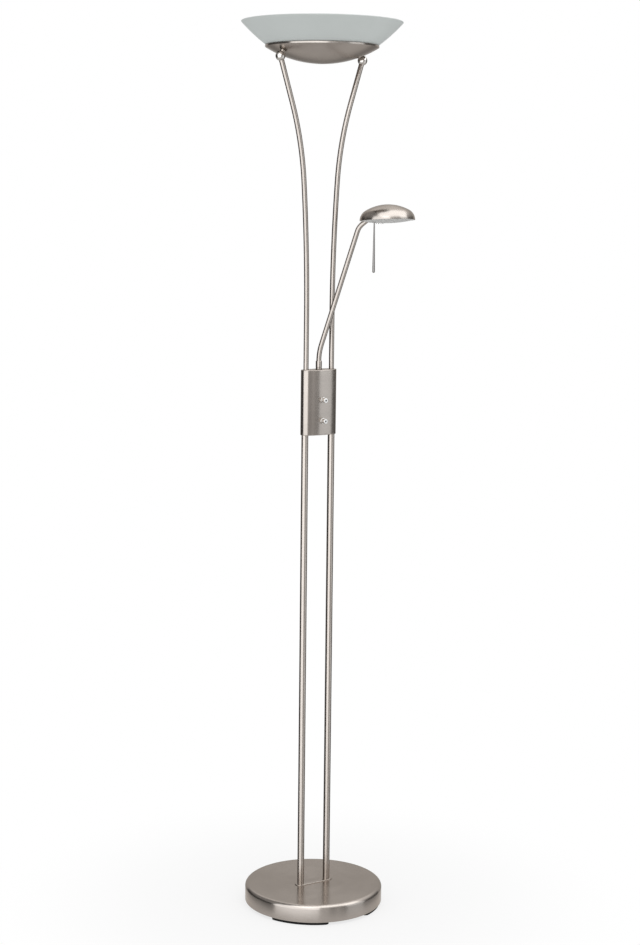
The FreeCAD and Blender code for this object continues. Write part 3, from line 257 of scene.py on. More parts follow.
def makeRoom(s, sectors, turn):
    # white all round for the camera; the metal sees a studio with darker and brighter parts
    world = bpy.data.worlds.new("room")
    bpy.context.scene.world = world
    world.use_nodes = True
    world.node_tree.nodes.clear()
    start = Wire(world.node_tree)
    x, y, z = start.node("ShaderNodeTexCoord", None, None, "Generated").split()
    angle = math.radians(turn)
    front = x * -math.sin(angle) + y * -math.cos(angle)
    right = x * math.cos(angle) + y * -math.sin(angle)
    level = (front * front + right * right) ** 0.5 + nearZero
    front = front / level
    right = right / level

    def towards(degrees, inner, outer):
        # 1 within so many degrees of a direction, fading to 0 further out
        way = math.radians(degrees)
        near = front * math.cos(way) + right * math.sin(way)
        return near.between(math.cos(math.radians(outer)), math.cos(math.radians(inner)))

    def under(ends):
        return 1 - z.between(ends[1], ends[0])

    behind = towards(*s["behind"]) * under(s["behindBelowFrom"])
    middle = 1 - behind * (1 - s["behindBelow"])
    for degrees, inner, outer, dimmed in sectors.values():
        middle = middle * (1 - towards(degrees, inner, outer) * (1 - dimmed))
    above = z.between(*s["overheadFrom"]) * (s["overhead"] - s["above"]) + s["above"]
    fromLeft = towards(*s["leftSide"])
    above = above * (1 - fromLeft) + fromLeft * s["aboveLeft"]
    high = z.between(*s["aboveFrom"])
    low = under(s["belowFrom"])
    glow = middle * (1 - high - low) + above * high + low * s["below"]
    inMetal = 1 - rayKinds(start, "Is Glossy Ray")[0] * (1 - glow)
    shown = seenDirectly(start)
    strength = shown * inMetal + (1 - shown) * s["light"]
    background = start.node("ShaderNodeBackground", None, {"Color": (1, 1, 1, 1), "Strength": strength})
    start.node("ShaderNodeOutputWorld", None, {"Surface": background})


def makeLamp(name, values, turn):
    degrees, rise, distance, width, height, watts, lights = values
    way = math.radians(turn + 180 - degrees)
    up = math.radians(rise)
    ahead = Vector((math.sin(way) * math.cos(up), math.cos(way) * math.cos(up), math.sin(up)))
    place = lampAim + ahead * distance
    data = bpy.data.lights.new(name, "AREA")
    data.shape = "RECTANGLE"
    data.size = width
    data.size_y = height
    data.energy = watts
    lamp = bpy.data.objects.new(name, data)
    bpy.context.scene.collection.objects.link(lamp)
    lamp.location = place
    lamp.rotation_euler = (lampAim - place).to_track_quat("-Z", "Y").to_euler()
    lamp.visible_diffuse = lights == "surfaces"
    lamp.visible_glossy = lights == "metal"
    if lights == "metal":
        data.color = cardColour


makeFloor(stageSettings)
makeRoom(roomSettings, sectorSettings, cameraSettings["turn"])
for lampName, lampValues in lampSettings.items():
    makeLamp(lampName, lampValues, cameraSettings["turn"])
print("stage, room and lamps made")


grainSettings = {
    # noise steps round or across the piece for its lines and for its bands, then bands a metre
    "turned": (1.6, 2.4, 40),  # rings round the pattern's Z
    "belt": (30, 12, 60),  # lines round an upright piece
    "tube": (30, 12, 60),  # lines round a bent one
    "plain": (None, 60, 60),  # no direction
}
softEnds = (0.3, 0.7)  # a noise is blended softly between these


def edgesOf(start, ends):
    return start.node("ShaderNodeNewGeometry", None, None, "Pointiness").between(*ends)


def bumpOf(height, s):
    return height.node("ShaderNodeBump", None,
                       {"Height": height, "Strength": s["bump"], "Distance": s["depth"]})


def metalFinish(name, s, grain, centre=(0, 0, 0), turn=(0, 0, 0)):
    material, start = newMaterial(name)
    place = placeOf(start, centre, turn)
    if grain == "tube":
        place = start.node("ShaderNodeAttribute", {"attribute_name": "unbent"}, None, "Vector")
    x, y, z = place.split()
    fine = s["lines"]
    across, broadAcross, broadFine = grainSettings[grain]
    if grain == "turned":
        radius = (x * x + y * y) ** 0.5
        far = radius + nearZero
        way = start.join(x / far * across, y / far * across, (radius + z * s["climb"]) * fine)
        broad = start.join(x / far * broadAcross, y / far * broadAcross, (radius + z) * broadFine)
    else:
        across = across or fine
        way = start.join(x * across, y * across, z * fine)
        broad = start.join(x * broadAcross, y * broadAcross, z * broadFine)
    lines = way.noise(1.0, detail=3.0, rough=0.65)
    bands = broad.noise(1.0)
    smudge = place.noise(s["smudges"], detail=3.0, rough=0.55).between(*s["smudgeEnds"])
    worn = edgesOf(start, s["wornEnds"])
    shade = bands.between(*softEnds) * 0.5 + lines * 0.5
    base = s["colour"]
    dark, pale, edge = s["shades"]
    colour = shade.blend(tinted(base, dark), tinted(base, pale))
    colour = worn.blend(colour, tinted(base, edge))
    lineRough, smudgeRough, evened = s["roughShares"]
    rough = s["rough"] + lines * lineRough + smudge * smudgeRough - evened
    bump = bumpOf(lines, s)
    shader = start.node("ShaderNodeBsdfPrincipled", None,
                        {"Base Color": colour, "Roughness": rough, "Metallic": 1.0, "Normal": bump,
                         "Specular Tint": s["edgeTint"],
                         "Anisotropic": 0.0 if grain == "plain" else s["pull"],
                         "Anisotropic Rotation": s["pullTurn"]})
    return closeMaterial(material, start, shader)


def mouldedFinish(name, s):
    # plastic, rubber, enamel, ceramic and paint: a coat of colour over a fine pebbled face
    material, start = newMaterial(name)
    place = placeOf(start)
    pebble = place.noise(s["grain"], detail=3.0, rough=0.6)
    cloud = place.noise(s["clouds"], detail=3.0).between(*softEnds) * s["clouding"]
    dust = edgesOf(start, s["edgeEnds"])
    base = s["colour"]
    dark, pale = s["shades"]
    colour = cloud.blend(tinted(base, dark), tinted(base, pale))
    colour = (dust * s["edge"]).blend(colour, s["edgeColour"])
    cloudRough, pebbleRough = s["roughShares"]
    rough = s["rough"] + cloud * cloudRough + pebble * pebbleRough
    bump = bumpOf(pebble, s)
    shader = start.node("ShaderNodeBsdfPrincipled", None,
                        {"Base Color": colour, "Roughness": rough, "Normal": bump,
                         "Specular IOR Level": s["gloss"],
                         "Coat Weight": s["coat"], "Coat Roughness": s["coatRough"]})
    return closeMaterial(material, start, shader)


def glassFinish(name, s, centre=(0, 0, 0), turn=(0, 0, 0)):
    # gritty or clear glass, with moulded rings where its settings ask for them
    material, start = newMaterial(name)
    place = placeOf(start, centre, turn)
    grit = place.noise(s["grain"], detail=4.0, rough=0.7)
    cloud = place.noise(s["clouds"], detail=3.0).between(*softEnds)
    base = s["colour"]
    dark, pale = s["shades"]
    colour = cloud.blend(tinted(base, dark), tinted(base, pale))
    gritRough, cloudRough = s["roughShares"]
    rough = s["rough"] + grit * gritRough + cloud * cloudRough
    x, y, z = place.split()
    radius = (x * x + y * y) ** 0.5
    rings = start.sum("SINE", radius * s["rings"])
    bump = bumpOf(grit + rings * s["ringShare"], s)
    shader = start.node("ShaderNodeBsdfPrincipled", None,
                        {"Base Color": colour, "Roughness": rough, "Normal": bump, "IOR": s["ior"],
                         "Transmission Weight": s["through"]})
    return closeMaterial(material, start, shader)


satinNickel = {
    "colour": (0.350, 0.312, 0.282, 1),
    "edgeTint": (0.80, 0.76, 0.72, 1),
    "rough": 0.24,
    "pull": 0.72,  # how far the brush lines draw a highlight out across them
    "pullTurn": 0.25,
    "lines": 2600,  # brush lines a metre
    "climb": 1.31,  # how much faster turned lines follow each other up the piece
    "bump": 0.06,
    "depth": 0.00001,
    "smudges": 22.0,
    "smudgeEnds": (0.35, 0.75),
    "wornEnds": (0.52, 0.62),
    "shades": (0.95, 1.06, 1.15),  # dark lines, pale lines, worn edges
    "roughShares": (0.05, 0.04, 0.045),  # lines, smudges, and what is taken off again
}
brightNickel = dict(satinNickel, colour=(0.66, 0.64, 0.62, 1), rough=0.09, bump=0.05)
zincSteel = dict(satinNickel, colour=(0.46, 0.46, 0.45, 1), rough=0.34, bump=0.3)
brassMetal = dict(satinNickel, colour=(0.62, 0.44, 0.17, 1), rough=0.28)
castIron = dict(satinNickel, colour=(0.07, 0.068, 0.066, 1), rough=0.62, lines=420,
                bump=0.9, depth=0.0005)
mouldedSettings = {
    "colour": (0.02, 0.02, 0.02, 1),
    "gloss": 0.5,
    "clouds": 26.0,
    "clouding": 1.0,  # how strongly its colour and roughness drift
    "shades": (0.93, 1.05),
    "roughShares": (0.08, 0.06),  # clouds, pebbles
    "rough": 0.5,
    "grain": 900.0,
    "bump": 0.25,
    "depth": 0.0002,
    "edge": 0.3,
    "edgeEnds": (0.5, 0.58),
    "edgeColour": (0.08, 0.08, 0.08, 1),
    "coat": 0.0,
    "coatRough": 0.15,
}
blackRubber = dict(mouldedSettings, colour=(0.006, 0.006, 0.006, 1), rough=0.75, grain=1400.0, gloss=0.15,
                   edgeColour=(0.02, 0.02, 0.02, 1))
blackPlastic = dict(mouldedSettings, colour=(0.018, 0.018, 0.019, 1), rough=0.42)
blackPaint = dict(mouldedSettings, colour=(0.022, 0.022, 0.022, 1), rough=0.38, grain=620.0, coat=0.2)
whitePlastic = dict(mouldedSettings, colour=(0.72, 0.71, 0.68, 1), rough=0.36,
                    edgeColour=(0.8, 0.8, 0.78, 1))
whiteRubber = dict(mouldedSettings, colour=(0.66, 0.65, 0.62, 1), rough=0.6,
                   edgeColour=(0.7, 0.7, 0.68, 1))
whiteCeramic = dict(mouldedSettings, colour=(0.78, 0.765, 0.72, 1), rough=0.3, grain=1700.0, coat=0.4,
                    edgeColour=(0.85, 0.84, 0.8, 1))
whiteEnamel = dict(mouldedSettings, colour=(0.80, 0.80, 0.79, 1), rough=0.22, grain=300.0, bump=0.12,
                   coat=0.5, clouding=0.3, edgeColour=(0.84, 0.84, 0.83, 1))
frostedGlass = {
    "colour": (0.640, 0.680, 0.665, 1),
    "rough": 0.42,
    "ior": 1.5,
    "clouds": 14.0,
    "shades": (0.98, 1.02),
    "roughShares": (0.08, 0.03),  # grit, clouds
    "grain": 2600.0,
    "bump": 0.2,
    "depth": 0.00004,
    "through": 0.12,
    "rings": 60.0,  # moulded rings, in radians a metre
    "ringShare": 0.0,
}
frostedLens = dict(frostedGlass, colour=(0.76, 0.755, 0.735, 1), rough=0.34, bump=0.5, depth=0.0002,
                   through=0.3, rings=3600.0, ringShare=1.5)
clearGlass = dict(frostedGlass, colour=(0.94, 0.95, 0.95, 1), rough=0.02, bump=0.02, through=1.0)

plainFinishes = {
    "satin_nickel": metalFinish("satinNickel", satinNickel, "belt"),
    "bright_nickel": metalFinish("brightNickel", brightNickel, "plain"),
    "plain_steel": metalFinish("zincSteel", zincSteel, "plain"),
    "cast_iron": metalFinish("castIron", castIron, "plain"),
    "brass": metalFinish("brass", brassMetal, "turned"),
    "black_steel": mouldedFinish("blackPaint", blackPaint),
    "black_rubber": mouldedFinish("blackRubber", blackRubber),
    "white_rubber": mouldedFinish("whiteRubber", whiteRubber),
    "black_plastic": mouldedFinish("blackPlastic", blackPlastic),
    "white_plastic": mouldedFinish("whitePlastic", whitePlastic),
    "white_ceramic": mouldedFinish("whiteCeramic", whiteCeramic),
    "white_enamel": mouldedFinish("whiteEnamel", whiteEnamel),
    "frosted_glass": glassFinish("frostedGlass", frostedGlass),
    "frosted_lens": glassFinish("frostedLens", frostedLens),
    "clear_glass": glassFinish("clearGlass", clearGlass),
}
for piece in nodes.values():
    for slot in piece.material_slots:
        slot.material = plainFinishes[slot.material.name.split(".")[0]]
print("finishes made:", len(plainFinishes))


acrossUp = Vector((0, -1, 0))  # outlines drawn in the XZ plane, for turned pieces
onFloor = Vector((0, 0, 1))  # outlines drawn flat, for upright pieces
weld = 0.015 * mm  # points nearer than this become one
flush = 0.001 * mm  # points nearer than this to a level lie on it
steep = 0.1  # a face whose normal rises less than this stands upright
clear = 5.0  # how far a cutter stands out of what it cuts


def spot(corner, plane):
    if plane is acrossUp:
        return at(corner[0], 0, corner[1])
    return at(corner[0], corner[1], 0)


def arcCentre(start, end, radius, plane):
    # a positive radius bulges to the left of the way travelled
    chord = end - start
    left = plane.cross(chord).normalized()
    depth = math.sqrt(max(0.0, radius * radius - chord.length_squared / 4))
    inward = left * (-1 if radius > 0 else 1)
    return (start + end) / 2 + inward * depth


def newPiece(name):
    # names what was just added, with its place kept in its mesh
    piece = bpy.context.object
    piece.name = name
    bpy.ops.object.transform_apply()
    return piece


def editMode():
    bpy.ops.object.mode_set(mode="EDIT")


def objectMode():
    bpy.ops.object.mode_set(mode="OBJECT")


def selectAll():
    bpy.ops.mesh.select_all(action="SELECT")


def spinFrom(centre, axis, degrees, steps):
    bpy.ops.mesh.spin(steps=steps, angle=-math.radians(degrees), center=centre, axis=axis)


def drawOutline(name, corners, plane, arcStep):
    # draws a closed row of edges; a corner's third value is the radius of the side before it
    deselect()
    first = spot(corners[0], plane)
    bpy.ops.mesh.primitive_plane_add(size=0.5 * mm, location=first)
    piece = newPiece(name)
    editMode()
    bpy.ops.mesh.select_mode(type="VERT")
    selectAll()
    bpy.ops.mesh.merge(type="CENTER")
    before = first
    for corner in corners[1:] + corners[:1]:
        after = spot(corner, plane)
        if len(corner) > 2 and corner[2]:
            centre = arcCentre(before, after, corner[2] * mm, plane)
            opening = 2 * math.asin(min(1.0, (after - before).length / (2 * abs(corner[2]) * mm)))
            turn = math.degrees(opening) * (-1 if corner[2] > 0 else 1)
            spinFrom(centre, plane, turn, max(2, math.ceil(abs(turn) / arcStep)))
        else:
            bpy.ops.mesh.extrude_vertices_move(TRANSFORM_OT_translate={"value": after - before})
        before = after
    selectAll()
    bpy.ops.mesh.remove_doubles(threshold=weld)
    return piece


def closeUp():
    # joins what meets, drops what is left over and turns the faces outwards
    selectAll()
    bpy.ops.mesh.remove_doubles(threshold=weld)
    bpy.ops.mesh.delete_loose(use_verts=True, use_edges=True, use_faces=False)
    selectAll()
    bpy.ops.mesh.normals_make_consistent(inside=False)
    objectMode()


def turned(name, corners, steps, arcStep=6.0):
    # an outline spun right round the upright axis
    piece = drawOutline(name, corners, acrossUp, arcStep)
    selectAll()
    spinFrom((0, 0, 0), (0, 0, 1), 360, steps)
    closeUp()
    return piece


def pickFaces(piece, test):
    # selects, in edit mode, the faces whose middle and normal pass a test
    editMode()
    bpy.ops.mesh.select_mode(type="FACE")
    bpy.ops.mesh.select_all(action="DESELECT")
    objectMode()
    for face in piece.data.polygons:
        face.select = test(face.center, face.normal)
    editMode()


def pickEdges(piece, test):
    # selects, in edit mode, the edges whose two ends pass a test
    editMode()
    bpy.ops.mesh.select_mode(type="EDGE")
    bpy.ops.mesh.select_all(action="DESELECT")
    objectMode()
    points = piece.data.vertices
    for edge in piece.data.edges:
        ends = [points[index].co for index in edge.vertices]
        edge.select = test(*ends)
    editMode()


def pickLevel(piece, level):
    pickEdges(piece, lambda a, b: abs(a.z - level) < flush and abs(b.z - level) < flush)


def upright(name, corners, bottom, height, roundTop, roundBottom=0.0, arcStep=6.0):
    # a flat outline filled and extruded upwards, its rims rounded
    piece = drawOutline(name, corners, onFloor, arcStep)
    bpy.ops.mesh.edge_face_add()
    bpy.ops.mesh.extrude_region_move(TRANSFORM_OT_translate={"value": (0, 0, height * mm)})
    selectAll()
    bpy.ops.transform.translate(value=(0, 0, bottom * mm))
    bpy.ops.mesh.normals_make_consistent(inside=False)
    for level, size in ((bottom, roundBottom), (bottom + height, roundTop)):
        if size:
            pickLevel(piece, level * mm)
            bpy.ops.mesh.bevel(offset=size * mm, segments=4, affect="EDGES")
    objectMode()
    return piece


def bentBar(name, radius, start, path, around):
    # a ring drawn along a path in the XZ plane and closed at both ends; a run is a vector, and a bend
    # is its centre, its degrees and its steps
    deselect()
    bpy.ops.mesh.primitive_circle_add(vertices=around, radius=radius * mm, location=start)
    tube = newPiece(name)
    editMode()
    bpy.ops.mesh.select_mode(type="VERT")
    selectAll()
    for part in path:
        if isinstance(part, Vector):
            bpy.ops.mesh.extrude_region_move(TRANSFORM_OT_translate={"value": part})
        else:
            centre, degrees, steps = part
            spinFrom(centre, (0, 1, 0), degrees, steps)
    bpy.ops.mesh.edge_face_add()
    objectMode()
    pickLevel(tube, start[2])
    bpy.ops.mesh.edge_face_add()
    closeUp()
    keepUnbent(tube, around)
    return tube


def keepUnbent(tube, around):
    # stores where each point would lie if the bar were straight, for the lines of its finish
    points = [vertex.co.copy() for vertex in tube.data.vertices]
    rings = [points[first:first + around] for first in range(0, len(points), around)]
    middles = [sum(ring, Vector()) / around for ring in rings]
    straight = []
    length = 0.0
    for index, ring in enumerate(rings):
        before = middles[max(index - 1, 0)]
        after = middles[min(index + 1, len(rings) - 1)]
        along = (after - before).normalized()
        side = Vector((0, 1, 0)).cross(along).normalized()
        length += (middles[index] - before).length
        for point in ring:
            offset = point - middles[index]
            straight += (offset.dot(side), offset.y, length)
    unbent = tube.data.attributes.new("unbent", "FLOAT_VECTOR", "POINT")
    unbent.data.foreach_set("vector", straight)


def pick(piece):
    deselect()
    piece.select_set(True)
    bpy.context.view_layer.objects.active = piece


def applyModifier(piece, kind, **settings):
    pick(piece)
    modifier = piece.modifiers.new(kind.lower(), kind)
    for name, value in settings.items():
        setattr(modifier, name, value)
    bpy.ops.object.modifier_apply(modifier=modifier.name)


def carve(piece, cutter):
    # cuts away a cutter, which is then thrown out
    applyModifier(piece, "BOOLEAN", operation="DIFFERENCE", object=cutter, solver="EXACT")
    bpy.data.objects.remove(cutter)


def block(name, low, high):
    # a cutter between two corners
    deselect()
    middle = (Vector(low) + Vector(high)) / 2 * mm
    size = (Vector(high) - Vector(low)) * mm
    bpy.ops.mesh.primitive_cube_add(size=1, location=middle, scale=size)
    return newPiece(name)


def bar(name, radius, low, high, around):
    # a round cutter between two points
    deselect()
    way = (Vector(high) - Vector(low)) * mm
    bpy.ops.mesh.primitive_cylinder_add(vertices=around, radius=radius * mm, depth=way.length,
                                        location=(Vector(high) + Vector(low)) / 2 * mm,
                                        rotation=way.to_track_quat("Z", "Y").to_euler())
    return newPiece(name)


def settle(piece, matrix):
    # moves a piece to its place and keeps that place in its mesh
    pick(piece)
    piece.matrix_world = matrix
    bpy.ops.object.transform_apply()


def copyOf(piece, name, matrix):
    twin = piece.copy()
    twin.data = piece.data.copy()
    twin.name = name
    bpy.context.scene.collection.objects.link(twin)
    settle(twin, matrix)
    return twin


def hand(piece, body, slotName, finish, *replaced, smooth=32):
    # the last step of every piece: its shading, finish, body and the CAD nodes it stands for
    pick(piece)
    piece.data.materials.clear()
    piece.data.materials.append(finish)
    bpy.ops.object.shade_smooth_by_angle(angle=math.radians(smooth))
    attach(piece, body)
    if replaced:
        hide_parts(*replaced)


baseSettings = {
    "radius": 142.5,
    "foot": 6.0,
    "top": 41.4,
    "round": 8.0,
    "wall": 1.2,
    "hem": 0.35,
    "flatRing": 40.0,  # an extra ring of points on the flat top, this far in from its rounding
    "inletRadius": 5.0,
    "inletHeight": 18.0,
    "inletDepth": 8.0,
}
footPlate = {"length": 87.0, "width": 22.0, "thickness": 1.6, "round": 0.5}


def makeBaseCover(s):
    radius, top, foot, hem = s["radius"], s["top"], s["foot"], s["hem"]
    inner = radius - s["wall"]
    rim = radius - s["round"]
    shoulder = top - s["round"]
    cover = turned("base_cover_shell", [
        (radius - hem, foot),
        (radius, foot + hem, -hem),
        (radius, shoulder),
        (rim, top, -s["round"]),
        (rim - s["flatRing"], top),
        (0, top),
        (0, top - s["wall"]),
        (rim, top - s["wall"]),
        (inner, shoulder, s["round"] - s["wall"]),
        (inner, foot + hem),
        (inner + hem, foot, hem)], steps=160)
    outside = (0, radius + clear, s["inletHeight"])
    inside = (0, radius - s["inletDepth"], s["inletHeight"])
    carve(cover, bar("inletCutter", s["inletRadius"], outside, inside, 32))
    finish = metalFinish("satinNickelBase", dict(satinNickel, bump=0.10), "turned")
    hand(cover, "stand", "satin_nickel", finish, "base_cover")


def makeFootPlate(s, top):
    end = s["width"] / 2
    run = s["length"] / 2 - end
    plate = upright("foot_plate_oval", [
        (run, -end), (run + end, 0, -end), (run, end, -end),
        (-run, end), (-run - end, 0, -end), (-run, -end, -end)], top, s["thickness"], s["round"])
    finish = metalFinish("satinNickelPlate", satinNickel, "plain")
    hand(plate, "stand", "satin_nickel", finish, "pole_foot_plate")


makeBaseCover(baseSettings)
makeFootPlate(footPlate, baseSettings["top"])
print("base made")

poleSettings = {
    "radius": 7.0,
    "offset": 31.5,
    "bottom": 43.0,
    "top": 984.0,
}
upperPole = {
    "radius": 5.2,
    "offset": 30.3,
    "bottom": 1116.0,
    "swayRise": 112.0,
    "swayShift": 9.0,
    "bendStart": 1490.0,
    "bendRadius": 650.0,
    "lean": 17.6,
    "ball": (95.945, 0, 1729.419),
    "short": 4.0,  # it ends this far short of the ball's centre
}
tubeNickel = metalFinish("satinNickelTube", satinNickel, "tube")


def makeLowerPoles(s):
    for side, sign in sides.items():
        foot = at(s["offset"] * sign, 0, s["bottom"])
        pole = bentBar("pole_lower_" + side, s["radius"], foot,
                       [at(0, 0, s["top"] - s["bottom"])], around=40)
        hand(pole, "stand", "satin_nickel", tubeNickel, "lower_pole_" + side)


def makeUpperPoles(s):
    offset, bottom, swayRise, swayShift = s["offset"], s["bottom"], s["swayRise"], s["swayShift"]
    bendStart, bendRadius = s["bendStart"], s["bendRadius"]
    foot = at(offset, 0, bottom)
    length = bendStart - bottom - swayRise
    swayRadius = (length ** 2 + swayShift ** 2) / (2 * swayShift)
    swayLean = math.asin(length / swayRadius)
    lean = math.radians(s["lean"])
    swayCentre = at(offset + swayRadius, 0, bottom + swayRise)
    bendFoot = Vector((offset + swayShift, 0, bendStart))
    bendCentre = bendFoot + Vector((math.cos(swayLean), 0, -math.sin(swayLean))) * bendRadius
    bendHead = bendCentre - Vector((math.cos(lean), 0, -math.sin(lean))) * bendRadius
    way = Vector((math.sin(lean), 0, math.cos(lean)))
    end = Vector(s["ball"]) - way * s["short"]
    pole = bentBar("pole_upper_right", s["radius"], foot, [
        at(0, 0, swayRise),
        (swayCentre, math.degrees(swayLean), 12),
        (bendCentre * mm, math.degrees(lean - swayLean), 20),
        (end - bendHead) * mm], around=36)
    twin = copyOf(pole, "pole_upper_left", Matrix.Rotation(math.pi, 4, "Z"))
    hand(pole, "stand", "satin_nickel", tubeNickel, "upper_pole_right")
    hand(twin, "stand", "satin_nickel", tubeNickel, "upper_pole_left")


makeLowerPoles(poleSettings)
makeUpperPoles(upperPole)
print("poles made")

boxSettings = {
    "bottom": 984.0,
    "height": 132.0,
    "halfLength": 40.0,
    "halfDepth": 17.0,
    "endRadius": 13.0,
    "cap": 3.0,
    "capRound": 1.3,
    "capEdge": 0.1,
    "seam": 0.25,
}
controlNickel = dict(brightNickel, colour=(0.58, 0.56, 0.54, 1), rough=0.08)
# a black fill for each knob's dimple: painted shade, a dark disc where the hollow only lies in shade
dimpleFillBlack = dict(blackPlastic, colour=(0.006, 0.006, 0.006, 1), gloss=0.1,
                   edgeColour=(0.01, 0.01, 0.01, 1))
controlSettings = {
    "heights": {"upper": 1055.0, "lower": 1013.0},
    "collarRadius": 6.2,
    "collarDepth": 2.6,
    "collarRound": 0.7,
    "collarHole": 4.2,
    "knobRadius": 5.0,
    "knobLength": 8.9,
    "neck": 4.4,
    "neckEnd": 1.0,
    "flareEnd": 1.5,
    "backDish": 0.4,
    "gap": 0.5,
    "chamfer": 0.9,
    "dimple": 1.8,
    "dimpleFloor": 0.9,
    "dimpleEdge": 0.15,
    "dimpleDepth": 1.3,
    # the dark fill in the dimple is painted shade: how far below the face it stops, then its edge
    "dimpleFillDepth": 0.2,
    "dimpleFillEdge": (0.2, 0.3, 0.25),  # across, down and its radius
    "ridges": 30,
    "ridgeInset": 0.08,
    "ridgeDepth": 0.22,
}


def ovalCorners(s):
    # two crowned long sides and two round ends, all tangent
    end = s["endRadius"]
    endCentre = s["halfLength"] - end
    crown = (endCentre ** 2 + s["halfDepth"] ** 2 - end ** 2) / (2 * (s["halfDepth"] - end))
    spread = crown - end
    across = endCentre + end * endCentre / spread
    up = end * (crown - s["halfDepth"]) / spread
    return [(across, -up), (s["halfLength"], 0, -end), (across, up, -end), (-across, up, -crown),
            (-s["halfLength"], 0, -end), (-across, -up, -end), (across, -up, -crown)]


def makeBox(s):
    corners = ovalCorners(s)
    bottom, cap, seam = s["bottom"], s["cap"], s["seam"]
    shellNickel = metalFinish("satinNickelBox", satinNickel, "belt")
    top = bottom + s["height"]
    shell = upright("box_shell_oval", corners, bottom + cap, s["height"] - 2 * cap,
                    seam, seam, arcStep=3.0)
    hand(shell, "stand", "satin_nickel", shellNickel, "box_shell")
    lowCap = upright("box_cap_bottom", corners, bottom, cap,
                     s["capEdge"], s["capRound"], arcStep=3.0)
    hand(lowCap, "stand", "satin_nickel", shellNickel, "box_bottom_cap")
    highCap = upright("box_cap_top", corners, top - cap, cap,
                      s["capRound"], s["capEdge"], arcStep=3.0)
    hand(highCap, "stand", "satin_nickel", shellNickel, "box_top_cap")


def makeControls(s, front):
    chrome = metalFinish("brightNickelControls", controlNickel, "plain")
    dimpleFillFinish = mouldedFinish("paintedShadeDimpleFill", dimpleFillBlack)
    toFront = Matrix.Rotation(math.pi / 2, 4, "X")
    wide, deep, edge = s["collarRadius"], s["collarDepth"], s["collarRound"]
    collar = turned("control_collar", [
        (s["collarHole"], 0),
        (wide, 0),
        (wide, deep - edge),
        (wide - edge, deep, -edge),
        (s["collarHole"], deep)], steps=48)
    length, dimple, rim = s["knobLength"], s["dimple"], s["dimpleEdge"]
    floor = length - s["dimpleDepth"]
    knob = turned("control_knob", [
        (0, s["backDish"]),
        (s["neck"], 0),
        (s["neck"], s["neckEnd"]),
        (s["knobRadius"], s["flareEnd"]),
        (s["knobRadius"], length - s["chamfer"]),
        (s["knobRadius"] - s["chamfer"], length, -s["chamfer"]),
        (dimple + rim, length),
        (dimple, length - rim, rim),
        (s["dimpleFloor"], floor),
        (0, floor)], steps=s["ridges"] * 2)
    ridgeTurn = math.radians(360 / s["ridges"])

    def everyOther(middle, normal):
        turn = math.atan2(middle.y, middle.x) % ridgeTurn
        inside = s["flareEnd"] < middle.z / mm < length - s["chamfer"]
        return inside and abs(normal.z) < steep and turn < ridgeTurn / 2

    pickFaces(knob, everyOther)
    bpy.ops.mesh.inset(thickness=s["ridgeInset"] * mm, depth=-s["ridgeDepth"] * mm, use_individual=True)
    objectMode()
    # the dimple's dark fill: painted shade laid in the hollow of each knob
    fillTop = length - s["dimpleFillDepth"]
    across, down, edge = s["dimpleFillEdge"]
    dimpleFill = turned("control_plug", [
        (0, floor),
        (s["dimpleFloor"], floor),
        (dimple, fillTop - down),
        (dimple - across, fillTop, -edge),
        (0, fillTop)], steps=24)
    collars = []
    for name, height in s["heights"].items():
        face = Matrix.Translation(at(0, -front, height))
        collars.append(copyOf(collar, "control_collar_" + name, face @ toFront))
        back = Matrix.Translation(at(0, -front - deep - s["gap"], height))
        turnedKnob = copyOf(knob, "control_knob_" + name, back @ toFront)
        hand(turnedKnob, name + "_control", "bright_nickel", chrome, name + "_knob")
        placedFill = copyOf(dimpleFill, "control_plug_" + name, back @ toFront)
        hand(placedFill, name + "_control", "black_plastic", dimpleFillFinish)
    for blank in (collar, knob, dimpleFill):
        bpy.data.objects.remove(blank)
    deselect()
    for one in collars:
        one.select_set(True)
    bpy.context.view_layer.objects.active = collars[0]
    bpy.ops.object.join()
    hand(collars[0], "stand", "bright_nickel", chrome, "control_collars")


makeBox(boxSettings)
makeControls(controlSettings, boxSettings["halfDepth"])
print("control box made")

panSettings = {
    "radius": 112.5,
    "rim": 1753.6,
    "edge": 1750.2,
    "bottom": 1718.6,
    "wall": 1.0,
    "soft": 0.4,
}
ballSettings = {
    "radius": 9.8,
    "flat": 8.6,
    "edge": 0.3,
}
glassSettings = {
    "radius": 159.5,
    "top": 1799.97,
    "footRadius": 105.3,
    "foot": 1750.4,
    "curve": 350.0,
    "wall": 5.4,
    "footWall": 6.6,
    "round": 1.5,
    "insideRound": 0.8,
}
linearLamp = {
    "height": 1762.0,
    "radius": 5.5,
    "tubeEnd": 38.8,
    "neckRadius": 2.6,
    "neckStart": 45.8,
    "neckLength": 1.0,
    "shoulder": 8.0,
    "endRadius": 4.2,
    "endRound": 0.4,
    "endStep": 0.5,
    "stepStart": 3.0,
    "stepEnd": 2.6,
    "halfLength": 58.8,
    "pinRadius": 3.0,
    "pinRound": 0.6,
    "pinEnd": 61.3,
    "coilRadius": 1.0,
    "wireRadius": 0.2,
    "turns": 44,
    "filamentShort": 8.0,
}


def panCurve(s):
    # the radius that the dish is curved to
    depth = s["edge"] - s["bottom"]
    return (s["radius"] ** 2 + depth ** 2) / (2 * depth)


def makePan(s):
    radius, rim, bottom = s["radius"], s["rim"], s["bottom"]
    wall, soft, curve = s["wall"], s["soft"], panCurve(s)
    inside = radius - wall
    insideEdge = bottom + curve - math.sqrt((curve - wall) ** 2 - inside ** 2)
    pan = turned("pan_dish", [
        (0, bottom),
        (radius, s["edge"], -curve),
        (radius, rim - soft),
        (radius - soft, rim, -soft),
        (inside, rim),
        (inside, insideEdge),
        (0, bottom + wall, curve - wall)], steps=160, arcStep=1.0)
    finish = metalFinish("satinNickelPan", satinNickel, "turned")
    hand(pan, "stand", "satin_nickel", finish, "bowl_pan", smooth=24)


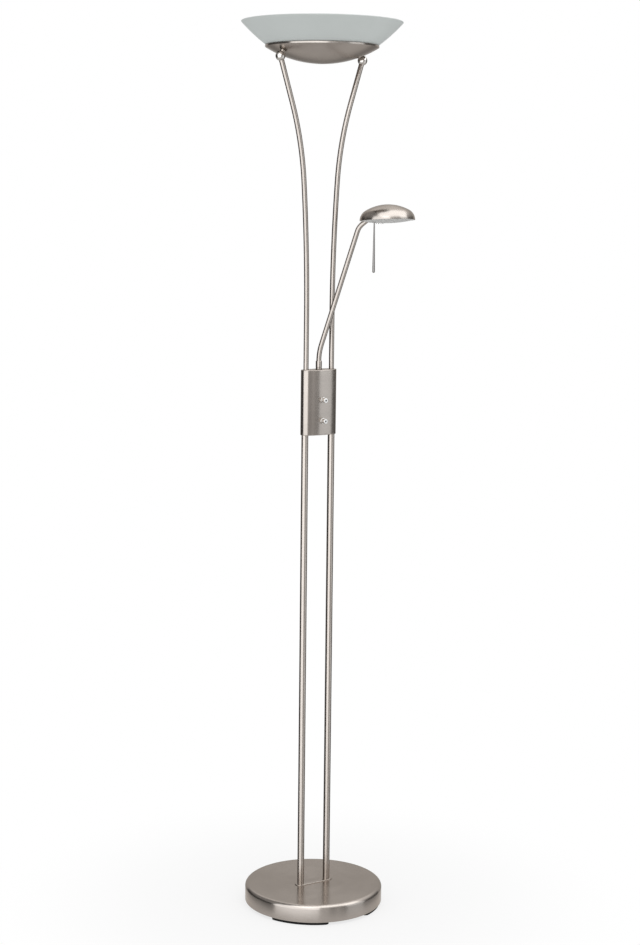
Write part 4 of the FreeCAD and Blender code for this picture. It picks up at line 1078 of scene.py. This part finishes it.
def makeGlass(s):
    radius, top, foot = s["radius"], s["top"], s["foot"]
    edge, soft = s["round"], s["insideRound"]
    inside = radius - s["wall"]
    glass = turned("bowl_glass", [
        (s["footRadius"], foot),
        (radius, top - edge, -s["curve"]),
        (radius - edge, top, -edge),
        (inside + soft, top),
        (inside, top - soft, -soft),
        (s["footRadius"] - s["footWall"], foot, s["curve"])], steps=192, arcStep=0.6)
    hand(glass, "stand", "frosted_glass", plainFinishes["frosted_glass"], "glass_bowl", smooth=40)


def makeBalls(s, centre, panCentre):
    middle = Vector(centre) * mm
    way = (at(0, 0, panCentre) - middle).normalized()
    deselect()
    bpy.ops.mesh.primitive_uv_sphere_add(segments=64, ring_count=32, radius=s["radius"] * mm,
                                         location=middle)
    ball = newPiece("knuckle_right")
    editMode()
    selectAll()
    bpy.ops.mesh.bisect(plane_co=middle + way * s["flat"] * mm, plane_no=way,
                        use_fill=True, clear_outer=True)
    bpy.ops.mesh.bevel(offset=s["edge"] * mm, segments=3, affect="EDGES")
    objectMode()
    twin = copyOf(ball, "knuckle_left", Matrix.Rotation(math.pi, 4, "Z"))
    finish = metalFinish("brightNickelBall", dict(brightNickel, colour=(0.5, 0.47, 0.44, 1)), "plain")
    hand(ball, "stand", "bright_nickel", finish, "knuckle_ball_right")
    hand(twin, "stand", "bright_nickel", finish, "knuckle_ball_left")


def makeLinearLamp(s):
    # a glass tube pinched at both ends, ceramic ends with their contacts, and a coiled filament
    sideways = Matrix.Translation(at(0, 0, s["height"])) @ Matrix.Rotation(math.pi / 2, 4, "Y")
    neck, tube, end = s["neckStart"], s["tubeEnd"], s["halfLength"]
    thin, neckFoot = s["neckRadius"], neck - s["neckLength"]
    glass = turned("linear_lamp_tube", [
        (0, -neck), (thin, -neck), (thin, -neckFoot), (s["radius"], -tube, -s["shoulder"]),
        (s["radius"], tube), (thin, neckFoot, -s["shoulder"]), (thin, neck), (0, neck)], steps=48)
    settle(glass, sideways)
    hand(glass, "stand", "clear_glass", plainFinishes["clear_glass"], "linear_lamp")
    wide, soft, step = s["endRadius"], s["endRound"], s["endStep"]
    pin, pinEnd, pinSoft = s["pinRadius"], s["pinEnd"], s["pinRound"]
    cap = turned("linear_lamp_end", [
        (0, neck), (wide - soft, neck), (wide, neck + soft, -soft), (wide, end - s["stepStart"]),
        (wide - step, end - s["stepEnd"]), (wide - step, end - step), (pin, end),
        (pin, pinEnd - pinSoft), (pin - pinSoft, pinEnd, -pinSoft), (0, pinEnd)], steps=40)
    other = copyOf(cap, "linear_lamp_end_left", sideways @ Matrix.Rotation(math.pi, 4, "X"))
    settle(cap, sideways)
    for piece in (cap, other):
        hand(piece, "stand", "white_ceramic", plainFinishes["white_ceramic"])
    # the filament: one ring of wire, repeated along the tube
    deselect()
    half = tube - s["filamentShort"]
    bpy.ops.mesh.primitive_torus_add(major_radius=s["coilRadius"] * mm, minor_radius=s["wireRadius"] * mm,
                                     major_segments=12, minor_segments=6, location=(0, 0, -half * mm))
    coil = newPiece("linear_lamp_filament")
    applyModifier(coil, "ARRAY", count=s["turns"], use_relative_offset=False, use_constant_offset=True,
                  constant_offset_displace=(0, 0, 2 * half / (s["turns"] - 1) * mm))
    settle(coil, sideways)
    hand(coil, "stand", "plain_steel", metalFinish("tungsten", zincSteel, "plain"))


makePan(panSettings)
makeBalls(ballSettings, upperPole["ball"], panSettings["bottom"] + panCurve(panSettings))
makeGlass(glassSettings)
makeLinearLamp(linearLamp)
print("pan, balls, glass and lamp made")

armSettings = {
    "turn": -45.0,  # degrees round the lamp from its right side
    "radius": 5.0,
    "foot": 1104.05,
    "collarBottom": 1116.3,
    "collarTop": 1133.4,
    "collarRadius": 6.3,
    "collarRound": 0.3,
    "collarTopEdge": (1.0, 1.5, 1.6),  # across, down and its radius
    "groove": 3.0,
    "grooveWidth": 1.2,
    "grooveSlope": 0.3,
    "grooveDepth": 0.35,
    "firstBend": (110.0, 17.3),  # radius, and the lean it ends at
    "run": 237.0,
    "secondBend": (30.0, 50.0),
    "end": 15.0,
}


def makeArm(s):
    turn = Matrix.Rotation(math.radians(s["turn"]), 4, "Z")
    (firstRadius, firstLean), (secondRadius, secondLean) = s["firstBend"], s["secondBend"]
    first = math.radians(firstLean)
    second = math.radians(secondLean)
    bendFoot = Vector((0, 0, s["collarTop"]))
    firstCentre = bendFoot + Vector((firstRadius, 0, 0))
    runFoot = firstCentre - Vector((math.cos(first), 0, -math.sin(first))) * firstRadius
    runEnd = runFoot + Vector((math.sin(first), 0, math.cos(first))) * s["run"]
    secondCentre = runEnd + Vector((math.cos(first), 0, -math.sin(first))) * secondRadius
    tube = bentBar("arm_bent_tube", s["radius"], at(0, 0, s["foot"]), [
        at(0, 0, s["collarTop"] - s["foot"]),
        (firstCentre * mm, firstLean, 10),
        (runEnd - runFoot) * mm,
        (secondCentre * mm, secondLean - firstLean, 10),
        Vector((math.sin(second), 0, math.cos(second))) * s["end"] * mm], around=36)
    settle(tube, turn)
    hand(tube, "reading_arm", "satin_nickel", tubeNickel, "arm_tube")
    low, high, radius, soft = s["collarBottom"], s["collarTop"], s["collarRadius"], s["collarRound"]
    across, down, edge = s["collarTopEdge"]
    deep, slope = radius - s["grooveDepth"], s["grooveSlope"]
    grooveLow = low + s["groove"]
    grooveHigh = grooveLow + s["grooveWidth"]
    collar = turned("arm_foot_collar", [
        (s["radius"], low), (radius - soft, low), (radius, low + soft, -soft), (radius, grooveLow),
        (deep, grooveLow + slope), (deep, grooveHigh - slope), (radius, grooveHigh),
        (radius, high - down), (radius - across, high, -edge), (s["radius"], high)], steps=48)
    finish = metalFinish("satinNickelCollar", satinNickel, "turned")
    hand(collar, "reading_arm", "satin_nickel", finish, "arm_collar")


makeArm(armSettings)
print("arm made")

# the reading head has its own frame, with its origin at the pivot and +X away from the poles
headSettings = {
    "pivot": (72.972302, -72.972302, 1421.876535),
    "roll": -4.1,
    "rollAxis": 50.0,  # lean of the arm's end
    "tilt": 2.9,
    "reach": 32.4,
    "drop": 9.0,
}
shadeSettings = {
    "radius": 55.0,
    "height": 31.5,
    "shoulder": 23.0,
    "wall": 0.8,
    "lip": 0.25,
    "notchWidth": 13.0,
    "notchHeight": 8.8,
    "notchDepth": 12.0,
}
lensSettings = {
    "radius": 53.6,
    "thickness": 2.5,
    "sag": 5.0,
    "edge": 0.4,
    "cutHeights": (-15.0, 5.0),  # from under the lens to over it
    "slotEnd": -26.9,
    "screwHoles": (-19.9, -10.9),
    "screwHole": 1.9,
    "rodHole": 2.6,
    "rodHoleLength": 50.0,
}
# the satin nickel darkened: painted shade, so the thin handle rod shows grey instead of lit by the lamps
shadedRodNickel = dict(satinNickel, colour=(0.215, 0.205, 0.195, 1), rough=0.16)
rodSettings = {
    "top": (11.4, -20.0, 11.0),
    "length": 122.8,
    "topRadius": 1.4,
    "straight": 30.0,
    "endRadius": 2.7,
}


def headMatrix(s):
    lean = math.radians(s["rollAxis"])
    place = Matrix.Translation(Vector(s["pivot"]) * mm)
    arm = Matrix.Rotation(math.radians(armSettings["turn"]), 4, "Z")
    roll = Matrix.Rotation(math.radians(s["roll"]), 4, Vector((math.sin(lean), 0, math.cos(lean))))
    return place @ arm @ roll @ Matrix.Rotation(-math.radians(s["tilt"]), 4, "Y")


def turnOf(matrix):
    return tuple(matrix.to_euler())


def makeShade(s, matrix):
    radius, height, shoulder = s["radius"], s["height"], s["shoulder"]
    wall, lip = s["wall"], s["lip"]
    middle = radius - shoulder
    crown = (middle ** 2 + height ** 2 - shoulder ** 2) / (2 * (height - shoulder))
    spread = crown - shoulder
    drop = crown - height

    def joining(bend):
        return middle + bend * middle / spread, bend * drop / spread

    inner = shoulder - wall
    shade = turned("shade_dome", [
        (radius - lip, 0),
        (radius, lip, -lip),
        (*joining(shoulder), -shoulder),
        (0, height, -crown),
        (0, height - wall),
        (*joining(inner), crown - wall),
        (radius - wall, lip, inner),
        (radius - wall + lip, 0, lip)], steps=128, arcStep=3.0)
    half = s["notchWidth"] / 2
    carve(shade, block("notchCutter", (-radius - clear, -half, -clear),
                       (-radius + s["notchDepth"], half, s["notchHeight"])))
    settle(shade, matrix)
    finish = metalFinish("satinNickelShade", satinNickel, "turned",
                         matrix.to_translation(), turnOf(matrix))
    hand(shade, "reading_head", "satin_nickel", finish, "head_shade", smooth=30)


def makeLens(s, matrix, rodStart, rodWay):
    radius, edge, thickness, sag = s["radius"], s["edge"], s["thickness"], s["sag"]
    curve = (radius ** 2 + sag ** 2) / (2 * sag)
    lens = turned("lens_disc", [
        (0, -sag),
        (radius - edge, 0, -curve),
        (radius, edge, -edge),
        (radius, thickness),
        (0, thickness - sag, curve)], steps=128, arcStep=1.0)
    half = shadeSettings["notchWidth"] / 2
    under, over = s["cutHeights"]
    carve(lens, block("slotCutter", (-radius - clear, -half, under), (s["slotEnd"], half, over)))
    for across in s["screwHoles"]:
        carve(lens, bar("screwCutter", s["screwHole"], (across, 0, under), (across, 0, over), 24))
    carve(lens, bar("rodCutter", s["rodHole"], rodStart, rodStart + rodWay * s["rodHoleLength"], 24))
    settle(lens, matrix)
    finish = glassFinish("frostedLensRings", frostedLens, matrix.to_translation(), turnOf(matrix))
    hand(lens, "reading_head", "frosted_lens", finish, "head_lens", smooth=30)


def makeRod(s, place):
    length, top, end = s["length"], s["topRadius"], s["endRadius"]
    rod = turned("rod_handle", [
        (0, 0), (top, 0), (top, -s["straight"]), (end, end - length), (0, -length, end)],
        steps=32, arcStep=12.0)
    settle(rod, Matrix.Translation(place))
    finish = metalFinish("shadedNickelRod", shadedRodNickel, "plain")
    hand(rod, "reading_head", "bright_nickel", finish, "handle_rod")


head = headMatrix(headSettings)
shadeFrame = head @ Matrix.Translation(at(headSettings["reach"], 0, -headSettings["drop"]))
rodTop = head @ (Vector(rodSettings["top"]) * mm)
makeShade(shadeSettings, shadeFrame)
makeLens(lensSettings, shadeFrame, (shadeFrame.inverted() @ rodTop) / mm,
         shadeFrame.to_3x3().inverted() @ Vector((0, 0, -1)))
makeRod(rodSettings, rodTop)
print("reading head made")
